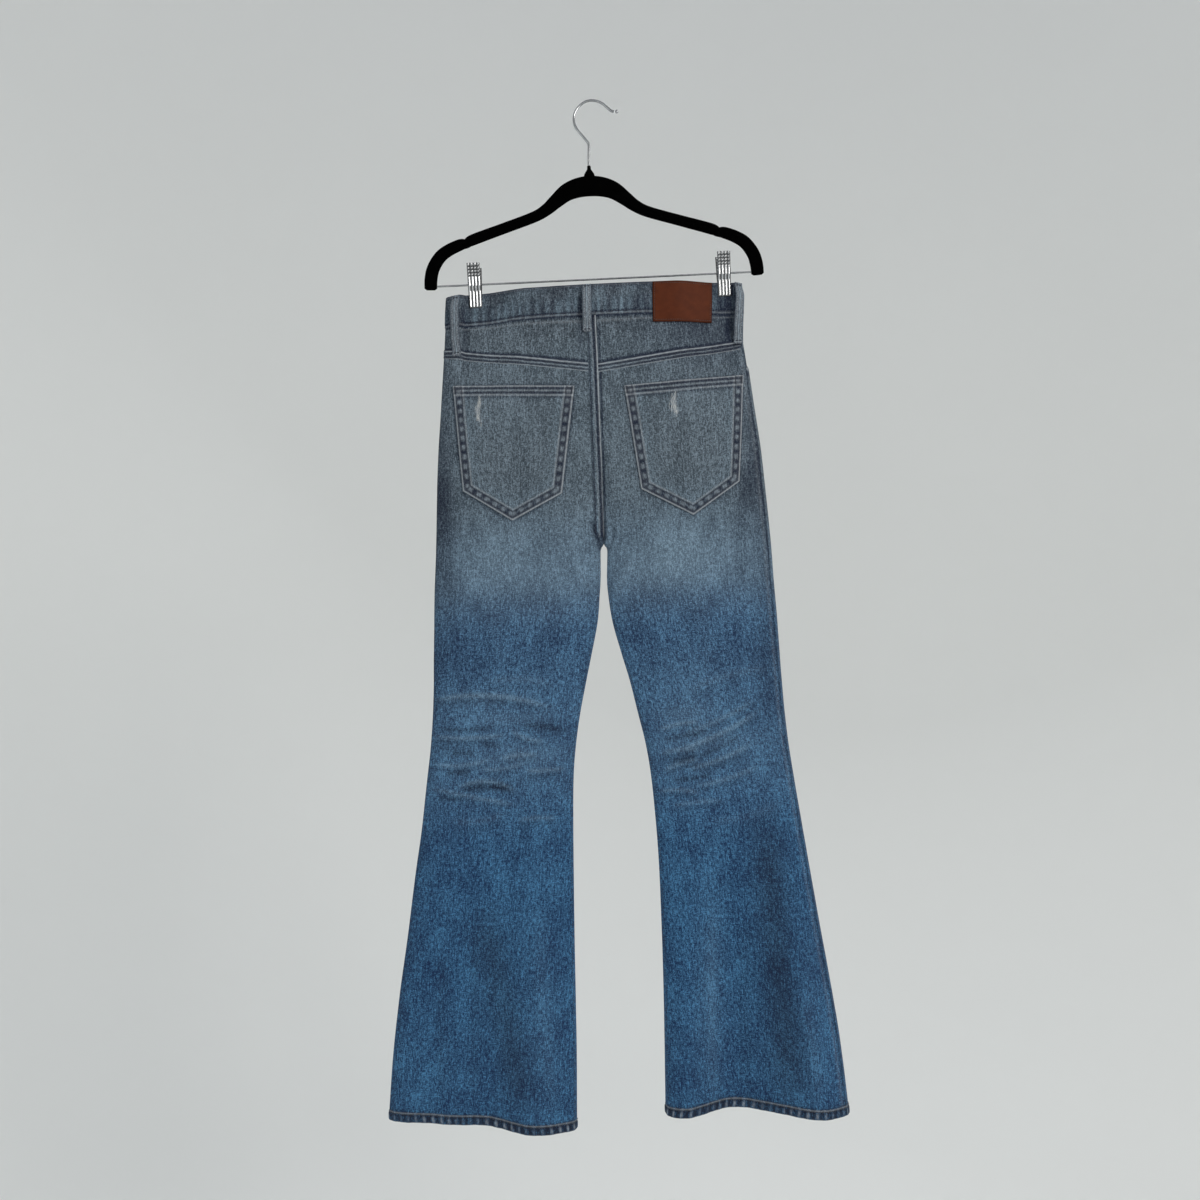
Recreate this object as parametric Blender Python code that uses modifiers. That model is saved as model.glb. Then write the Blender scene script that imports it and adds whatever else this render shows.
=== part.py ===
"""Flared five-pocket jeans, back view, hung flat from the two clips of a slim velvet hanger.

Metres, +Z up, +X to the viewer's right, the back of the jeans towards -Y. The origin is the inner top of
the hanger's hook. The cloth is a set of walls on one ring function: a place on the garment is a side, a
turn round the ring (0 at the centre back or inseam, 1 at the side fold, 2 at the centre front) and a drop
below the hook, and every piece that lies on another is the same place lifted outwards.
"""
import math
from typing import NamedTuple

import bmesh
import bpy
from mathutils import Matrix, Vector

MM = 0.001
COLLECTION = "wide_leg_jeans_on_hanger"

# Cloth
SEAM_GAP = 0.3
DENIM = 1.3
BAND_CLOTH = 2.4
BAND_LIFT = 0.6
HEM_CLOTH = 2.6
HEM_LIFT = 0.4
HEM_HEIGHT = 13.0
POCKET_CLOTH = 1.5
LEATHER = 1.5
LOOP_CLOTH = 1.8
ZIP_TAPE = 1.2
REST_GAP = 0.3
LAYER_GAP = 0.6
POCKET_GAP = 0.9
SLIDER_ROOM = 3.4

# Garment layout, as drops below the hook and distances across
TILT = 0.049
WAIST_TOP = 246.0
WAIST_RISE = 5.0
WAIST_HALF = 190.0
WAISTBAND_HEIGHT = 41.0
YOKE_CENTRE = 345.0
YOKE_SIDE_RISE = {"left": 30.0, "right": 24.0}
CROTCH = 579.0
CROTCH_ROUNDING = 7.0
CROTCH_PARTING = 4.2
PARTING_LENGTH = 60.0
INSEAM_WAY = {"left": -1.0, "right": 1.0}
CLOSING_START = 360.0
CLOSING_POWER = 1.5
LAYER_ROUNDNESS = 2.2
CENTRE_STANDOFF = 1.8
SIDE_FOLD_SHARPNESS = 12.0
FOLD_FALLOFF = 1.6
FOLD_EDGE_FADE = 4.0
HEM_LEVEL = 1340.0
WAIST_READING = 262.0
YOKE_READING = 290.0
OUTSEAM_TURN = {"left": 1.06, "right": 0.90}
SCOOP_START = 0.48
SCOOP_DEPTH = 72.0
SCOOP_ROUND = 1.6
FACING_OVERLAP = 16.0
FACING_END_TURN = 1.56
UNDERLAP_PLACES = (-3.8, -20.0, -36.0)
UNDERLAP_GAP = 0.9
PATCH_LEFT = 72.0
PATCH_RIGHT = 150.0
PATCH_HEIGHT = 53.0
PATCH_DROP = 0.6
LOOP_DROP = 0.8
LOOP_WIDTH = 12.0
LOOP_STANDOFF = 5.2

# Fly and waist button
ZIP_REACH = 13.0
ZIP_END = 395.0
SHIELD_REACH = 19.0
SHIELD_END = 405.0
SLIDER_SIZE = (7.0, 2.4, 8.0)
SLIDER_DROP = 8.0
SLIDER_ROUNDING = 0.6
STRIP_DROP = 1.5
BUTTON_PLACE = 17.0
BUTTON_SHANK = 2.2
BUTTON_ROOM = 0.35
BUTTONHOLE = (16.0, 12.0, 5.6)

# Rows and columns of the cloth's grids, and the steps that its direction is read over
ROWS_ABOVE = 7
ROWS_BELOW = 18
BACK_COLUMNS = 17
FRONT_COLUMNS = 15
BAND_ROWS = 4
BAND_COLUMNS = {True: 15, False: 14}
YOKE_ROWS = 3
FACING_ROWS = 5
HEM_ROWS = 2
POCKET_ROWS = 7
POCKET_COLUMNS = 8
PATCH_ROWS = 5
PATCH_COLUMNS = 7
ROW_SPACING = 1.35
FOLD_SPACING = 0.8
STATION_ROOM = 0.025
TURN_STEP = 0.012
DROP_STEP = 1.5

# Pinch of the hanger's clips
PINCH_DEPTH = 2.1
PINCH_FLAT = 11.0
PINCH_FADE_IN = 55.0
PINCH_FADE_OUT = 9.0
PINCH_STATIONS = (34.0, 14.0, 0.0)
PINCH_END = 420.0
PINCH_START = 268.0

# Hanger, in its own upright frame from the collar, and its place
COLLAR_X = -10.5
COLLAR_Z = -88.0
HANGER_ANGLE = math.atan(0.0465)
HANGER_HALF_THICK = 3.0
ROD_LEVEL = -143.8
ROD_HALF_LENGTH = 206.0
ROD_RADIUS = 1.25
HOOK_RADIUS = 1.7
HOOK_TIP_RADIUS = 2.4
HOOK_TIP_REACH = 3.35
HOOK_TIP_RISE = 0.2
BODY_CORNERS = 8
BODY_SQUARENESS = 0.7
COLLAR_FLATNESS = 0.4
CLIP_PLATE = 1.1
CLIP_RIB = 0.7
CLIP_JAW_DROP = 20.0
CLIP_SPRING_RADIUS = 5.5
CLIP_SPRING_HALF = 5.5
CLIP_BORE = 1.65
CLIP_PLACE = {"left": -156.4, "right": 169.8}


class Section(NamedTuple):
    """The garment's outline at one drop below the hook, and how far each layer stands off the middle."""

    drop: float
    left_out: float
    left_in: float
    right_in: float
    right_out: float
    back: float
    front: float


SECTIONS = (
    Section(240, -197.5, -4.0, -4.0, 184.5, 12.0, 12.0),
    Section(290, -199.0, -2.0, -2.0, 188.0, 14.0, 13.5),
    Section(340, -201.5, 0.5, 0.5, 196.0, 16.5, 15.0),
    Section(400, -205.0, 2.8, 2.8, 205.0, 20.0, 17.0),
    Section(460, -208.5, 5.0, 5.0, 214.0, 22.0, 18.5),
    Section(520, -210.0, 7.0, 7.0, 221.0, 21.0, 18.5),
    Section(579, -211.0, 9.0, 9.0, 227.0, 19.0, 17.5),
    Section(640, -213.0, 4.0, 14.0, 232.0, 17.5, 16.5),
    Section(680, -213.5, 1.0, 20.0, 235.5, 17.0, 16.0),
    Section(720, -214.0, -6.5, 31.0, 238.5, 16.0, 15.5),
    Section(760, -214.0, -14.5, 43.0, 241.5, 15.5, 15.0),
    Section(800, -215.5, -22.0, 53.0, 245.0, 15.0, 14.5),
    Section(840, -218.5, -27.5, 63.0, 249.5, 15.0, 14.5),
    Section(880, -223.0, -30.5, 70.0, 255.5, 15.0, 15.0),
    Section(940, -229.5, -31.0, 76.5, 265.5, 16.0, 16.0),
    Section(1000, -238.0, -30.5, 81.0, 276.0, 17.0, 17.0),
    Section(1080, -248.0, -29.5, 84.5, 290.0, 18.0, 19.0),
    Section(1160, -259.0, -28.0, 87.0, 304.5, 19.0, 21.0),
    Section(1240, -267.5, -26.5, 88.5, 318.0, 19.5, 22.0),
    Section(1345, -274.5, -26.0, 90.0, 331.0, 20.0, 23.0),
)


class Fold(NamedTuple):
    """A soft fold that grows from its start to the hem; a positive swell stands out from the leg."""

    side: str
    behind: bool
    across_top: float
    across_hem: float
    half_width: float
    swell: float
    start: float


FOLDS = (
    Fold("right", True, 0.16, 0.10, 0.14, 9.0, 930.0),
    Fold("right", True, 0.36, 0.38, 0.20, -17.0, 900.0),
    Fold("right", True, 0.70, 0.82, 0.22, 16.0, 860.0),
    Fold("left", True, 0.26, 0.22, 0.20, 13.0, 880.0),
    Fold("left", True, 0.44, 0.48, 0.16, -6.0, 950.0),
    Fold("left", True, 0.72, 0.78, 0.16, -5.0, 1000.0),
    Fold("right", False, 0.30, 0.26, 0.20, 10.0, 900.0),
    Fold("right", False, 0.58, 0.62, 0.20, -9.0, 940.0),
    Fold("left", False, 0.34, 0.36, 0.22, -8.0, 900.0),
    Fold("left", False, 0.66, 0.72, 0.20, 11.0, 880.0),
    Fold("left", True, 0.50, 0.50, 0.30, -3.0, 560.0),
    Fold("right", True, 0.50, 0.50, 0.30, -3.0, 560.0),
)


class Hem(NamedTuple):
    """The hem's drop at the inseam, the middle and the side fold of one leg."""

    inner: float
    middle: float
    outer: float


HEMS = {"left": Hem(1342.0, 1327.0, 1318.0), "right": Hem(1328.0, 1326.0, 1337.0)}


class Corner(NamedTuple):
    """A corner of a patch pocket: its distance across and its drop."""

    across: float
    drop: float


LEFT_POCKET = (
    Corner(-29, 374),
    Corner(-187, 365),
    Corner(-45, 512),
    Corner(-173, 503),
    Corner(-109, 544.5),
)
RIGHT_POCKET = (
    Corner(35, 377),
    Corner(190, 369),
    Corner(57, 511.5),
    Corner(184.5, 507.5),
    Corner(124.5, 548.5),
)
POCKETS = {"left": LEFT_POCKET, "right": RIGHT_POCKET}


class ArmStation(NamedTuple):
    """A cross-section of one hanger arm: the middle of the arm in the hanger's frame, and its half width."""

    across: float
    up: float
    half_width: float


ARM = (
    ArmStation(0, -21.3, 13.3),
    ArmStation(16, -23.0, 12.8),
    ArmStation(31, -28.5, 11.4),
    ArmStation(45, -39.0, 9.4),
    ArmStation(58, -49.5, 7.9),
    ArmStation(75, -58.5, 7.1),
    ArmStation(115, -71.5, 7.0),
    ArmStation(156, -84.6, 7.2),
    ArmStation(164.5, -89.2, 5.9),
    ArmStation(173, -90.4, 7.4),
    ArmStation(188, -96.6, 7.9),
    ArmStation(200, -105.0, 8.2),
    ArmStation(209.5, -119.0, 8.4),
    ArmStation(213.5, -133.0, 8.5),
    ArmStation(214.5, -148.0, 8.3),
)


class WirePoint(NamedTuple):
    """A point of the hook's wire, in the part's own frame."""

    across: float
    up: float


HOOK_WIRE = (
    WirePoint(-10.8, -82.3),
    WirePoint(-10.8, -68.0),
    WirePoint(-10.9, -55.5),
    WirePoint(-13.6, -50.2),
    WirePoint(-20.7, -41.7),
    WirePoint(-27.2, -33.6),
    WirePoint(-30.2, -24.0),
    WirePoint(-29.3, -14.6),
    WirePoint(-24.5, -6.0),
    WirePoint(-16.8, 0.4),
    WirePoint(-9.0, 2.8),
    WirePoint(0.0, 2.0),
    WirePoint(7.4, -1.4),
    WirePoint(13.6, -6.6),
    WirePoint(18.4, -10.6),
    WirePoint(22.6, -11.9),
)


class Loop(NamedTuple):
    """A belt loop: its side and layer, its distance across at the waist and at its foot, and its length."""

    name: str
    side: str
    behind: bool
    top_across: float
    foot_across: float
    length: float


LOOPS = (
    Loop("belt_loop_back_centre", "left", True, -13.5, -12.5, 62.0),
    Loop("belt_loop_back_left", "left", True, -184.0, -181.5, 76.0),
    Loop("belt_loop_back_right", "right", True, 183.6, 184.6, 78.0),
    Loop("belt_loop_front_left", "left", False, -84.0, -82.0, 56.0),
    Loop("belt_loop_front_right", "right", False, 76.0, 78.0, 56.0),
)


class LoopStage(NamedTuple):
    """A share of a belt loop's length, and the share of its full stand-off there."""

    down: float
    stand: float


LOOP_STAGES = (
    LoopStage(0.0, 0.0),
    LoopStage(0.07, 0.0),
    LoopStage(0.2, 1.0),
    LoopStage(0.5, 1.0),
    LoopStage(0.76, 0.9),
    LoopStage(0.9, 0.0),
    LoopStage(1.0, 0.0),
)
LOOP_COLUMNS = (-0.5, -0.25, 0.0, 0.25, 0.5)


class StripStation(NamedTuple):
    """A share of a centre front strip's length, and whether it is sunk there to clear the zip's slider."""

    down: float
    sunk: float


STRIP_STATIONS = (
    StripStation(0.0, 1.0),
    StripStation(0.12, 0.896),
    StripStation(0.2, 0.0),
    StripStation(0.6, 0.0),
    StripStation(1.0, 0.0),
)
STRIP_COLUMNS = (-1.0, -0.4, 0.0, 0.4, 1.0)


class ProfilePoint(NamedTuple):
    """A point of a turned profile: its radius and its height."""

    radius: float
    height: float


BUTTON_CAP = (
    ProfilePoint(0.0, 3.6),
    ProfilePoint(6.0, 3.4),
    ProfilePoint(8.2, 2.4),
    ProfilePoint(8.5, 1.4),
    ProfilePoint(8.0, 0.5),
    ProfilePoint(BUTTON_SHANK, 0.4),
)
COLLAR_PROFILE = (
    ProfilePoint(0.0, 5.0),
    ProfilePoint(2.4, 5.0),
    ProfilePoint(2.6, 0.5),
    ProfilePoint(4.2, -2.0),
    ProfilePoint(6.2, -5.0),
    ProfilePoint(7.2, -8.4),
    ProfilePoint(0.0, -8.4),
)


class JawStation(NamedTuple):
    """A height on a clip plate above the rod, its inner face's distance off the rod and its rib's share."""

    up: float
    off: float
    rib: float


JAW = (
    JawStation(-31.0, 3.05, 0.9),
    JawStation(-29.5, 3.05, 1.0),
    JawStation(-20.0, 3.05, 1.0),
    JawStation(-9.5, 3.05, 1.0),
    JawStation(-3.0, 5.6, 1.0),
    JawStation(4.0, 6.1, 1.0),
    JawStation(9.0, 7.0, 0.6),
    JawStation(11.0, 7.4, 1.3),
    JawStation(13.0, 7.8, 0.6),
    JawStation(15.0, 8.2, 1.3),
    JawStation(17.0, 8.6, 0.6),
    JawStation(19.0, 9.0, 1.3),
    JawStation(21.0, 9.4, 0.6),
    JawStation(23.0, 9.8, 1.3),
    JawStation(25.4, 10.2, 0.5),
)
RIB_PLACES = (-8.5, -6.4, -4.2, -2.1, 0.0, 2.1, 4.2, 6.4, 8.5)
RIB_CENTRES = (2.1, 6.4)


def clear_scene():
    """Removes what a new scene starts with."""
    for thing in list(bpy.data.objects):
        bpy.data.objects.remove(thing, do_unlink=True)


def new_collection(name):
    """Makes a collection in the scene."""
    group = bpy.data.collections.new(name)
    bpy.context.scene.collection.children.link(group)
    return group


def new_material(name, colour, roughness, metallic=0.0):
    """Makes a plain Principled material."""
    material = bpy.data.materials.new(name)
    material.use_nodes = True
    shader = material.node_tree.nodes["Principled BSDF"]
    shader.inputs["Base Color"].default_value = (*colour, 1.0)
    shader.inputs["Roughness"].default_value = roughness
    shader.inputs["Metallic"].default_value = metallic
    material.diffuse_color = (*colour, 1.0)
    return material


def ease(value):
    """Goes smoothly from 0 to 1 as the value does."""
    value = min(max(value, 0.0), 1.0)
    return value * value * (3.0 - 2.0 * value)


def mix(start, end, share):
    """Blends two numbers."""
    return start + (end - start) * share


def smooth_read(rows, key, column, place):
    """Reads a column of a table between its rows, on a Catmull-Rom curve."""
    last = len(rows) - 1
    place = min(max(place, getattr(rows[0], key)), getattr(rows[last], key))
    index = 0
    while index < last - 1 and place > getattr(rows[index + 1], key):
        index += 1
    near = [rows[min(max(index + step, 0), last)] for step in (-1, 0, 1, 2)]
    spots = [getattr(row, key) for row in near]
    values = [getattr(row, column) for row in near]
    span = spots[2] - spots[1]
    share = (place - spots[1]) / span
    slope_1 = (values[2] - values[0]) / max(spots[2] - spots[0], 1.0) * span
    slope_2 = (values[3] - values[1]) / max(spots[3] - spots[1], 1.0) * span
    square = share * share
    cube = square * share
    return (
        (2 * cube - 3 * square + 1) * values[1]
        + (cube - 2 * square + share) * slope_1
        + (3 * square - 2 * cube) * values[2]
        + (cube - square) * slope_2
    )


def outer_edge(side, drop):
    """The side fold's distance across."""
    return smooth_read(SECTIONS, "drop", f"{side}_out", drop)


def centre_seam(drop):
    """The centre seam's distance across, above the crotch."""
    return 0.5 * sum(smooth_read(SECTIONS, "drop", f"{side}_in", min(drop, CROTCH)) for side in INSEAM_WAY)


def inner_edge(side, drop):
    """The centre seam above the crotch, and the inseam's fold below it."""
    if drop <= CROTCH:
        return centre_seam(drop) + 0.3 * SEAM_GAP * INSEAM_WAY[side]
    parted = smooth_read(SECTIONS, "drop", f"{side}_in", drop)
    parted += CROTCH_PARTING * INSEAM_WAY[side] * (1.0 - ease((drop - CROTCH) / PARTING_LENGTH))
    return mix(centre_seam(CROTCH), parted, ease((drop - CROTCH) / CROTCH_ROUNDING))


def share_across(way):
    """The share of the width at a way round one layer, with close steps near the folds."""
    return 0.5 - 0.5 * math.cos(math.pi * way)


def centre_open(drop):
    """How far open the ring is at its inner end: 1 over the seat, 0 from the crotch down."""
    return 1.0 - ease((drop - CLOSING_START) / (CROTCH - CLOSING_START)) ** CLOSING_POWER


def lens(across, opened):
    """The share of the full depth that a layer has at a place between the inner end and the side fold."""
    away = abs(2.0 * across - 1.0)
    rounded = max(1.0 - away**LAYER_ROUNDNESS, 0.0) ** (1.0 / LAYER_ROUNDNESS)
    if across < 0.5:
        return opened + (1.0 - opened) * rounded
    return rounded


def clip_centre(side):
    """The clip's distance across at the waistband."""
    down = ROD_LEVEL - CLIP_JAW_DROP
    return COLLAR_X + CLIP_PLACE[side] * math.cos(HANGER_ANGLE) - down * math.sin(HANGER_ANGLE)


def grip(x, drop):
    """How fully the clips press the layers together: 1 under a clip's jaws."""
    fade = 1.0 - ease((drop - PINCH_START) / (PINCH_END - PINCH_START))
    strongest = 0.0
    for side in ("left", "right"):
        away = abs(x - clip_centre(side)) - PINCH_FLAT
        outward = (x > clip_centre(side)) == (side == "right")
        reach = PINCH_FADE_OUT if outward else PINCH_FADE_IN
        strongest = max(strongest, 1.0 - ease(away / reach))
    return strongest * fade


def fold_swell(side, behind, across, drop):
    """The height of the leg's folds at a place."""
    total = 0.0
    for fold in FOLDS:
        if fold.side != side or fold.behind != behind or drop <= fold.start:
            continue
        grown = ease((drop - fold.start) / (HEM_LEVEL - fold.start))
        centre = mix(fold.across_top, fold.across_hem, grown)
        away = (across - centre) / fold.half_width
        total += fold.swell * grown * math.exp(-FOLD_FALLOFF * away * away)
    return total


def ring_point(side, turn, drop):
    """A point of the cloth's outer face, in millimetres."""
    if drop > CROTCH and not 0.0 <= turn <= 2.0:
        turn = turn % 2.0
    behind = turn <= 1.0
    way = turn if behind else 2.0 - turn
    across = share_across(max(way, 0.0))
    inner = inner_edge(side, drop)
    x = inner + (outer_edge(side, drop) - inner) * across
    full = smooth_read(SECTIONS, "drop", "back" if behind else "front", drop)
    opened = centre_open(drop)
    depth = full * lens(across, opened)
    if drop <= CROTCH:
        depth = max(depth, CENTRE_STANDOFF * min(1.0, (1.0 - across) * SIDE_FOLD_SHARPNESS))
    pressed = grip(x, drop)
    depth = mix(depth, min(depth, PINCH_DEPTH), pressed)
    depth += fold_swell(side, behind, across, drop) * min(1.0, FOLD_EDGE_FADE * lens(across, 0.0))
    return Vector((x, -depth if behind else depth, TILT * x - drop))


def outward(side, turn, drop):
    """The outward direction of the cloth at a place."""
    lowest = TURN_STEP if drop <= CROTCH else 0.0
    near = min(max(turn, lowest), 2.0 - lowest)
    along = ring_point(side, near + TURN_STEP, drop) - ring_point(side, near - TURN_STEP, drop)
    down = ring_point(side, near, drop + DROP_STEP) - ring_point(side, near, drop - DROP_STEP)
    normal = along.cross(down)
    if side == "right":
        normal.negate()
    return normal.normalized()


def lifted(side, turn, drop, lift):
    """A point above the cloth's outer face, or inside it with a negative lift."""
    return ring_point(side, turn, drop) + outward(side, turn, drop) * lift


def turn_at(side, behind, x, drop):
    """The turn round the ring that has a given distance across."""
    inner = inner_edge(side, drop)
    across = (x - inner) / (outer_edge(side, drop) - inner)
    way = math.acos(1.0 - 2.0 * min(max(across, 0.0), 1.0)) / math.pi
    return way if behind else 2.0 - way


def turns_between(start, end, count):
    """Turns with even steps near the folds and wide ones between them."""
    turns = []
    across_start = share_across(start)
    across_end = share_across(end)
    for index in range(count + 1):
        even = index / count
        if (start - 1.0) * (end - 1.0) < -1e-9:
            turns.append(mix(start, end, even))
            continue
        flat = math.acos(1.0 - 2.0 * mix(across_start, across_end, even)) / math.pi
        flat = flat if start < 1.0 and end <= 1.0 else 2.0 - flat
        turns.append(mix(flat, mix(start, end, even), FOLD_SPACING))
    return turns


def waist_top(x):
    """The waist edge's drop."""
    return WAIST_TOP - WAIST_RISE * (1.0 - (x / WAIST_HALF) ** 2)


def waist_seam(x):
    """The drop of the seam under the waistband."""
    return waist_top(x) + WAISTBAND_HEIGHT


def yoke_seam(side, turn):
    """The drop of the seam under the back yoke."""
    across = share_across(min(turn, 1.0))
    return YOKE_CENTRE - YOKE_SIDE_RISE[side] * across


def hem_drop(side, turn):
    """The hem's drop at a turn round the leg."""
    way = turn if turn <= 1.0 else 2.0 - turn
    across = share_across(way)
    hem = HEMS[side]
    line = mix(hem.inner, hem.outer, across)
    bow = hem.middle - 0.5 * (hem.inner + hem.outer)
    return line + bow * 4.0 * across * (1.0 - across)


def inset_ends(rows, gap):
    """Draws the four borders of a grid in, so that seams keep their gap."""
    def pull(end, neighbour):
        """Moves a border point towards its neighbour."""
        way = neighbour - end
        return end + way.normalized() * min(gap, 0.4 * way.length)

    drawn = [[pull(row[0], row[1]), *row[1:-1], pull(row[-1], row[-2])] for row in rows]
    first = [pull(point, below) for point, below in zip(drawn[0], drawn[1])]
    last = [pull(point, above) for point, above in zip(drawn[-1], drawn[-2])]
    return [first, *drawn[1:-1], last]


def add_grid(mesh, rows):
    """Adds a grid of points and its faces to a mesh."""
    points = [[mesh.verts.new(point * MM) for point in row] for row in rows]
    for upper, lower in zip(points, points[1:]):
        for index in range(len(upper) - 1):
            mesh.faces.new((upper[index], upper[index + 1], lower[index + 1], lower[index]))
    return points


def place_mesh(mesh, name, material, group):
    """Makes an object of a bmesh, in a collection."""
    data = bpy.data.meshes.new(name)
    mesh.to_mesh(data)
    mesh.free()
    data.materials.append(material)
    data.shade_smooth()
    thing = bpy.data.objects.new(name, data)
    group.objects.link(thing)
    return thing


def close_wall(mesh, outer, inner):
    """Joins the borders of an outer and an inner grid of vertices."""
    for first, second in ((outer[0], inner[0]), (outer[-1], inner[-1])):
        for index in range(len(first) - 1):
            mesh.faces.new((first[index], first[index + 1], second[index + 1], second[index]))
    for end in (0, -1):
        edge = [row[end] for row in outer]
        lining = [row[end] for row in inner]
        for index in range(len(edge) - 1):
            mesh.faces.new((edge[index], edge[index + 1], lining[index + 1], lining[index]))


def cloth_wall(name, outer, inner, material, group):
    """Makes a cloth wall between the grids of its outer and its inner face, a lofted closed solid."""
    mesh = bmesh.new()
    skin = add_grid(mesh, inset_ends(outer, 0.5 * SEAM_GAP))
    lining = add_grid(mesh, inset_ends(inner, 0.5 * SEAM_GAP))
    close_wall(mesh, skin, lining)
    bmesh.ops.recalc_face_normals(mesh, faces=mesh.faces)
    return place_mesh(mesh, name, material, group)


def wall_rows(side, places, lift, thickness):
    """The outer and inner grids over rows of places: a turn, a drop and, where given, a lift."""
    outer = []
    inner = []
    for row in places:
        raised = [place if len(place) == 3 else (*place, lift) for place in row]
        outer.append([lifted(side, turn, drop, height) for turn, drop, height in raised])
        inner.append([lifted(side, turn, drop, height - thickness) for turn, drop, height in raised])
    return outer, inner


def grid_places(turns, levels):
    """Rows of places: every level function read at every turn."""
    return [[(turn, level(turn)) for turn in turns] for level in levels]


def walk(side, turn, drop, distance):
    """The turn that lies a given distance along the ring from another."""
    steps = 24
    for _ in range(steps):
        here = ring_point(side, turn, drop)
        probe = 0.002
        pace = (ring_point(side, turn + probe, drop) - here).length / probe
        turn += distance / steps / pace
    return turn


def row_levels(top, bottom, shares):
    """Makes level functions that go from a top line to a bottom line."""
    return [lambda turn, share=share: mix(top(turn), bottom(turn), share) for share in shares]


def even_shares(count, start=0.0, end=1.0, power=1.0):
    """Shares from start to end; a power over 1 sets them closer at the start."""
    return [mix(start, end, (index / count) ** power) for index in range(count + 1)]


def leg_levels(top, side):
    """Row levels of a full-length panel: to the crotch, then to the top of the hem band."""
    def crotch(turn):
        """The crotch's drop, the same at every turn."""
        return CROTCH

    def band(turn):
        """The drop of the hem band's upper edge."""
        return hem_drop(side, turn) - HEM_HEIGHT

    upper_shares = [1.0 - share for share in even_shares(ROWS_ABOVE, power=ROW_SPACING)][::-1]
    lower_shares = even_shares(ROWS_BELOW, power=ROW_SPACING)[1:]
    return row_levels(top, crotch, upper_shares) + row_levels(crotch, band, lower_shares)


def back_turns(side):
    """The columns of the back of one leg."""
    turns = turns_between(0.0, min(OUTSEAM_TURN[side], 1.0), BACK_COLUMNS)
    if OUTSEAM_TURN[side] > 1.0:
        turns.append(OUTSEAM_TURN[side])
    return turns


def front_turns(side):
    """The columns of the front of one leg, from the outseam to the centre front or inseam."""
    start = OUTSEAM_TURN[side]
    turns = turns_between(max(start, 1.0), 2.0, FRONT_COLUMNS)
    return turns if start >= 1.0 else [start, 0.5 * (start + 1.0), *turns]


def back_panel(side, material, group):
    """The back leg panel, from the yoke seam to the hem band."""
    levels = leg_levels(lambda turn: yoke_seam(side, turn), side)
    outer, inner = wall_rows(side, grid_places(back_turns(side), levels), 0.0, DENIM)
    return cloth_wall(f"back_{side}", outer, inner, material, group)


def scoop_line(side, turn):
    """The front panel's upper edge: the waist seam, dipping in a scoop at the front pocket."""
    level = waist_seam(ring_point(side, turn, YOKE_READING).x)
    across = share_across(2.0 - turn)
    if turn <= 1.0:
        return level + SCOOP_DEPTH
    share = max(across - SCOOP_START, 0.0) / (1.0 - SCOOP_START)
    return level + SCOOP_DEPTH * (1.0 - (1.0 - share**SCOOP_ROUND) ** (1.0 / SCOOP_ROUND))


def front_panel(side, material, group):
    """The front leg panel, from the waist seam and the pocket scoop to the hem band."""
    levels = leg_levels(lambda turn: scoop_line(side, turn), side)
    outer, inner = wall_rows(side, grid_places(front_turns(side), levels), 0.0, DENIM)
    return cloth_wall(f"front_{side}", outer, inner, material, group)


def pocket_facing(side, material, group):
    """The piece that shows in the front pocket's scoop and carries on behind the front panel."""
    def top(turn):
        """The waist seam's drop."""
        return waist_seam(ring_point(side, turn, YOKE_READING).x)

    def foot(turn):
        """The facing's lower edge, hidden behind the front panel."""
        return scoop_line(side, turn) + FACING_OVERLAP

    turns = [turn for turn in front_turns(side) if turn < FACING_END_TURN]
    places = grid_places(turns, row_levels(top, foot, even_shares(FACING_ROWS)))
    outer, inner = wall_rows(side, places, -(DENIM + LAYER_GAP), DENIM)
    return cloth_wall(f"front_pocket_facing_{side}", outer, inner, material, group)


def yoke(side, material, group):
    """One half of the back yoke."""
    levels = row_levels(
        lambda turn: waist_seam(ring_point(side, turn, YOKE_READING).x),
        lambda turn: yoke_seam(side, turn),
        even_shares(YOKE_ROWS),
    )
    outer, inner = wall_rows(side, grid_places(back_turns(side), levels), 0.0, DENIM)
    return cloth_wall(f"yoke_{side}", outer, inner, material, group)


def band_turns(side, behind):
    """Turns along half a waistband, with stations at the clip's jaws and where the band leaves them."""
    near = clip_centre(side)
    outward_way = 1.0 if side == "right" else -1.0
    steps = [-PINCH_FLAT - away for away in PINCH_STATIONS] + [0.0, PINCH_FLAT]
    stations = [turn_at(side, behind, near + outward_way * step, WAIST_READING) for step in steps]
    ends = (0.0, OUTSEAM_TURN[side]) if behind else (OUTSEAM_TURN[side], 2.0)
    whole = (0.0, 1.0) if behind else (1.0, 2.0)
    plain = turns_between(*whole, BAND_COLUMNS[behind])
    taken = (*stations, *ends)
    free = [turn for turn in plain if all(abs(turn - other) > STATION_ROOM for other in taken)]
    return sorted({*[turn for turn in free if ends[0] < turn < ends[1]], *taken})


def band_places(side, turns, lift):
    """Rows of places down the waistband over the given turns."""
    levels = row_levels(
        lambda turn: waist_top(ring_point(side, turn, WAIST_READING).x),
        lambda turn: waist_seam(ring_point(side, turn, WAIST_READING).x),
        even_shares(BAND_ROWS),
    )
    return [[(turn, level(turn), lift) for turn in turns] for level in levels]


def join_rows(first, second):
    """Joins two grids end to end where their borders meet."""
    return [[*one[:-1], (one[-1] + two[0]) * 0.5, *two[1:]] for one, two in zip(first, second)]


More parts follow.
